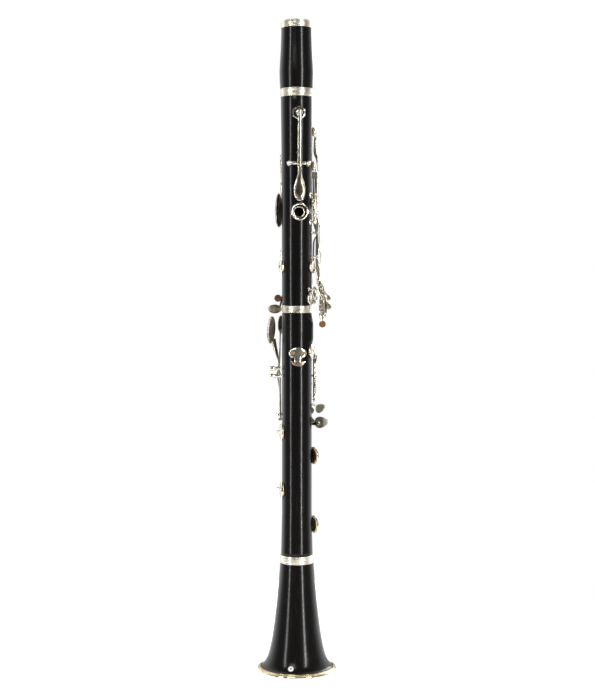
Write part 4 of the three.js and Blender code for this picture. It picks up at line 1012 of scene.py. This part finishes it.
LEFT_LINE = 220
key("c_sharp_key", lengthwise(112, 17.6, 339.2, 347.3), cup="c_sharp", metal=[
    arm((112, 17.6, 341.3), (95, 18.4, 341), (78, 18, 340.5), cup="c_sharp"),
    arm((112, 17.7, 341), (130, 17.3, 341), (150, 17.3, 341), (170, 17.3, 341), (190, 17.3, 341),
        (210, 17.5, 341), (230, 17.8, 341, 3.2), (243, 18.2, 340.8, 3.4)),
    arm((228, 17.8, 341, 3), (234, 17.8, 336, 3), (240, 17.6, 332, 3.2)),
], dark=[leaf(oval(8, 4.1), 1.5, LEFT_LINE, 15.8, 330.8, 12.6, curl=0.006)],
    corks=[rod(Vector((-17.3, 5.7, 340.6)), Vector((-17.3, 9.5, 340.6)), 3.3, 32, 0.3)])
posts("c_sharp_posts", lengthwise(112, 17.6, 337, 349.5))

SIDE_LINE, SIDE_R, HAND_LINE, TOUCH_LINE = 88, 18.2, 135, 160
BEAM = 3.4
LONG_PIVOT, THIRD_PIVOT, FOURTH_PIVOT = 400, 377.8, 348.7
# Pad, pivot height, tube ends, sideways offset and width; then the arm's stations above and
# below the pivot as (height, distance, thickness), its flared end as (x, y, z, facing, width),
# the touch's middle and half sizes, and the disc at its end as (x, z, radius).
SIDE_KEYS = [
    ("side_1", LONG_PIVOT, (6.8, 9), 8.1, 2.0,
     ((405, 17.9, BEAM), (450, 17.6, BEAM), (455, 18.4, 2), (466, 18.2, 2), (473, 16.6, BEAM),
      (484, 16.5, 2.6)),
     ((394, 18.4, 3), (366, 18.4, 3), (359, 19.6, 2)),
     ((21.6, 8, 353, 115, 2.4), (24.2, 8.8, 348, 140, 2.4)),
     (28.9, 10.8, 340.8), (2, 2.6), (29.1, 340.6, 1.8)),
    ("side_2", LONG_PIVOT, (3.8, 6.5), 5.2, 2.3, ((405, 17.9, BEAM), (445, 17.6, BEAM), (452, 18, 2)),
     ((393, 18.8, 2), (386, 19.5), (381.5, 21.6), (374, 21.6), (369, 20), (361, 19.8)),
     ((21.6, 5, 355, 115, 2.8), (23.9, 5.7, 347, 140, 3), (25.8, 6.6, 340, 155, 2.6)),
     (28.9, 7.2, 332.9), (2.2, 2.8), (29.4, 332.7, 2.2)),
    ("side_3", THIRD_PIVOT, (0.8, 3.2), 2, 2.3, ((384, 19.4), (393, 21), (406, 21), (413, 18.6)),
     ((370, 20.2, 2), (360, 20, 3.4)), ((21.6, 2, 353, 150, 4.8), (22.6, 2.3, 347, 160, 6)),
     (24.9, 3.1, 333), (2.8, 11), (22.9, 326.4, 2.5)),
    ("side_4", FOURTH_PIVOT, (-6.2, -2.8), -4.5, 2.3, ((354, 18.8), (359, 18.4)),
     ((345.5, 20),), ((21.6, -3.6, 342.5, 130, 2.8),),
     (22.4, -3, 332), (2.7, 12.4), (23.2, 317.2, 3.2)),
]

# Flat steel springs under the two long side keys, lying along the wood; their dark steel also paints the
# shade in the gap between those keys and the wood.
SPRINGS_AND_GAP_SHADE = [[(404, 16.2, 0.9), (412, 15.1, 1.5), (430, 14.9, 1.5), (450, 14.8, 1.5)],
                [(396, 16.6, 0.9), (390, 15.1, 1.5), (373, 14.9, 1.5)]]


def bumper(x, y, z, r, corked):
    """The flat round end of a side key, facing the thumb side; one of them holds a cork."""
    rim = r - 0.55
    floor = 1.7 if corked else 2.2
    profile = [(0, 0), (r - 0.1, 0), (r, 1.2), (r, 2.3), (r - 0.2, 2.55), (rim + 0.1, 2.5), (rim, floor),
               (rim * 0.5, floor), (rim * 0.4, floor - 0.3), (0, floor - 0.35)]
    return lathe(fillet(profile, 0.15), Vector((x, y + 0.7, z)), Vector((0, -1, 0)), 28)


for number, side_key in enumerate(SIDE_KEYS, 1):
    pad, pivot, reach, u, wide, rises, falls, flare, middle, size, (bx, bz, br) = side_key
    middle = Vector(middle)
    along = lambda z, r, thick=1.4: station(SIDE_LINE, r, z, wide, u, thick)
    at_pivot = along(pivot, SIDE_R + 0.4, 1.8)
    neck = (middle + outward(TOUCH_LINE) * 0.6 + UP * size[1] * 0.6, outward(TOUCH_LINE), 2.2, 1.4)
    down = [at_pivot, *(along(*fall) for fall in falls),
            *(free_station(x, y, z, width, 1.4, phi) for x, y, z, phi, width in flare), neck]
    up = [at_pivot, *(along(*rise) for rise in rises), finish_cup(pad)]
    discs = [bumper(bx, middle.y, bz, br, number == 4)]
    springs, corks = [], []
    if pivot == LONG_PIVOT:
        springs = [strap([along(*bend) for bend in bends]) for bends in SPRINGS_AND_GAP_SHADE]
    if number == 4:
        discs.append(bumper(22.9, -4.3, 326.6, 2.3, False))
        face = Vector((bx, middle.y, bz))
        corks = [rod(face - Vector((0, 0.8, 0)), face - Vector((0, 1.7, 0)), br - 0.6, 28, 0.15)]
    key(f"side_key_{number}", crosswise(SIDE_LINE, SIDE_R, pivot, *reach), cup=pad,
        metal=[strap(down), strap(up)],
        touch=[leaf(oval(*size), 1.2, TOUCH_LINE, middle.dot(outward(TOUCH_LINE)), middle.z,
                    middle.dot(across(TOUCH_LINE)))], dark=discs, corks=corks, springs=springs)
posts("trill_key_posts", crosswise(SIDE_LINE, SIDE_R, LONG_PIVOT, -1.1, 11), r=1.7)
posts("side_key_3_posts", crosswise(SIDE_LINE, SIDE_R, THIRD_PIVOT, -1.2, 5.2), r=1.7)
GUIDE_Z = 452.3
# A small saddle on the wood that the two long side keys run through.
piece("trill_key_guide", [
    strap([(spot(SIDE_LINE, r, GUIDE_Z, u), across(SIDE_LINE), 6.2, 0.8) for r in (13.2, 16, 18.9)])
    for u in (3.35, 9.75)], "upper_joint", "silver")
posts("side_key_4_posts", crosswise(SIDE_LINE, SIDE_R, FOURTH_PIVOT, -8.3, -0.8), r=1.7)

key("lower_ring_key", lengthwise(RING_LINE, RING_R, 250.2, 321), swing=RING_OPEN, cup="lower_ring",
    metal=[*(part for z, _ in LOWER_FINGERS for part in ring_and_arm(z)), ring_pad_arm("lower_ring")],
    resting=[arm((RING_LINE, 18.8, 315.5, 3), (147, 20.8, 317, 3), (157, 21.6, 321.5, 3.1),
                 (158, 21.6, 328.6, 3.3))])
posts("lower_ring_posts", lengthwise(RING_LINE, RING_R, 248, 323.2), "lower_joint", spring=1)

key("cross_f_sharp_key", lengthwise(112, 17.5, 249.4, 285.3), cup="cross_f_sharp", metal=[
    arm((112, 17.7, 281), (100, 18.3, 285), (86, 18, 290), cup="cross_f_sharp"),
    band(269, (112, 17.8), (121, 20.8), (131, 22.9), (145, 22.9), (156, 20.4), (163, 18.6)),
], touch=[leaf(oval(4.6, 2.3), 1.4, 167, 17.5, 269)])
posts("cross_f_sharp_posts", lengthwise(112, 17.5, 247.3, 287.5), "lower_joint", spring=1)

E_LINE, F_LINE, F_SHARP_LINE, A_FLAT_LINE, LITTLE_R = 165, 148, 188, 215, 18
key("e_key", lengthwise(E_LINE, LITTLE_R, 129.4, 236.7), swing=10.5, cup="e", own_pad=True, metal=[
    band(133, (E_LINE, 18.3), (146, 19.2), (126, 18.6), cup="e"),
], resting=[
    band(227, (E_LINE, 18.4), (158, 21.4), (150, 22.6), (140, 22.8)),
    band(234, (E_LINE, 18.4), (176, 20.8), (195, 20.8), (212, 20.8), (228, 20.8), (244, 20.3), (258, 17.6)),
], dark=[leaf(oval(4.6, 4.4), 1.3, HAND_LINE, 22, 226.6, 4.4)])
posts("e_posts", lengthwise(E_LINE, LITTLE_R, 127, 239), "lower_joint")

key("f_key", lengthwise(F_LINE, LITTLE_R, 190.4, 229.6), swing=12.5, cup="f", own_pad=True, metal=[
    band(196.5, (F_LINE, 18.4), (128, 18.6), cup="f"),
], resting=[
    arm((F_LINE, 18.3, 224), (138, 18.2, 224.5), (HAND_LINE, 17.8, 225.4, 3.2, -5.5),
        (HAND_LINE, 19.2, 226, 3.6, -9)),
], dull=[leaf(petal(9, 5.2, -8), 1.3, HAND_LINE, 19.4, 227, -11.7)])
posts("f_posts", lengthwise(F_LINE, LITTLE_R, 188, 232), "lower_joint")

key("f_sharp_key", lengthwise(F_SHARP_LINE, LITTLE_R, 160.4, 243.6), cup="f_sharp", own_pad=True, metal=[
    band(166.1, (F_SHARP_LINE, 18.4), (210, 19.2), (235, 19.2), (258, 18), cup="f_sharp"),
    band(237.5, (F_SHARP_LINE, 18.4), (180, 21), (168, 22.2), (150, 22.6), (140, 22.8)),
    band(229.4, (F_SHARP_LINE, 18.3), (200, 20.6), (216, 20.9), (232, 19.6), (243, 18.4), width=2.3),
], dark=[leaf(oval(4.4, 3.5), 1.3, HAND_LINE, 22, 236.8, 4.6)])
posts("f_sharp_posts", lengthwise(F_SHARP_LINE, LITTLE_R, 158, 246), "lower_joint")

key("a_flat_key", lengthwise(A_FLAT_LINE, LITTLE_R, 211.4, 243.6), cup="a_flat", own_pad=True, metal=[
    band(218.7, (A_FLAT_LINE, 18.4), (236, 19), (256, 18), cup="a_flat"),
    arm((A_FLAT_LINE, 18.3, 242.2), (205, 21, 242.2), (190, 22.6, 242.2), (172, 23.6, 242.2),
        (152, 24, 242.2), (134, 23.4, 242.2), (HAND_LINE, 21.4, 241, 3.2, -7)),
], dull=[leaf(petal(6.3, 4, -22), 1.3, HAND_LINE, 20.6, 239.8, -9.4)])
posts("a_flat_posts", lengthwise(A_FLAT_LINE, LITTLE_R, 209, 246), "lower_joint")

# --- left little finger levers

LEVER_POSTS = {"left_lever_post_upper": (276.9, 5.7, -17), "left_lever_post_lower": (269.9, 9.9, -18.2)}
for node, (z, pin, x) in LEVER_POSTS.items():
    profile = [(0, 0), (2.4, 0), (2.4, 1.2), (1.5, 2.4), (1.4, 5.6), (1.9, 8.2), (2.4, 9.8), (2.4, 12.0),
               (1.7, 13.9), (0.9, 14.3), (0, 14.4)]
    turned = lathe(fillet(profile, 0.35, 4), Vector((-11.8, 0, z)), Vector((-1, 0, 0)), 32)
    piece(node + "_metal", [turned, rod(Vector((x, 0, z)), Vector((x, pin, z)), ROD_R)], "lower_joint",
          "silver", [node])

key("left_e_lever", (Vector((-17, 2.7, 276.9)), Vector((-17, 5.3, 276.9)), None), dark=[
    free_arm((-21.6, 5, 303, 5.8, 1.4, 220), (-20.2, 4.8, 296.5, 4.8, 1.4, 224),
             (-18, 4.3, 289, 3.8, 1.4, 235), (-16.3, 4, 282.5, 2.4, 1.4, 255), (-17, 4, 276.9, 2.4, 2)),
    free_arm((-17, 4, 276.9, 2.4, 2), (-15.8, 3.9, 272.5, 2.2), (-15.3, 3.8, 268, 2.2),
             (-15.3, 3.6, 233, 2.2)),
    leaf(oval(4.6, 12.6, 6), 1.4, LEFT_LINE, 16.9, 311.8, 15.7),
])
key("left_f_sharp_lever", (Vector((-18.2, 6.6, 269.9)), Vector((-18.2, 9.5, 269.9)), None), dark=[
    free_arm((-14.8, 10.4, 312, 3, 1.4, 225), (-15.4, 8.6, 303, 2.4), (-15.6, 8.2, 290, 2.2),
             (-16.2, 8.1, 279, 2.2), (-18, 8.1, 269.9, 2.4, 1.8)),
    free_arm((-18, 8.1, 269.9, 2.4, 1.8), (-16.4, 8.1, 262, 2.2), (-15.2, 8.1, 252, 2.2),
             (-14.7, 8.1, 229, 2.2)),
    leaf(oval(3.6, 8.4), 1.4, LEFT_LINE, 17.4, 316.5, 3.8),
])

# --- floor

PULL_APART = 30.5


def floor():
    """A round pale floor, lit from within a little so that it runs into the white backdrop.
    It lies as far under the bell as the bell comes down when the sections are pulled apart."""
    rim = [spot(angle, 550, -PULL_APART) for angle in range(0, 360, 5)]
    obj = new_object("floor", rim, [tuple(range(len(rim)))])
    material, tree, shader = new_material(
        "pale_floor", (0.9, 0.9, 0.9), 0.9, Specular_IOR_Level=0.0, Emission_Color=(1, 1, 1, 1),
        Emission_Strength=0.7)
    tint(tree, shader, noise(tree, 6, 2), [(0.3, (0.88, 0.88, 0.88)), (0.7, (0.91, 0.91, 0.91))])
    obj.data.materials.append(material)


floor()
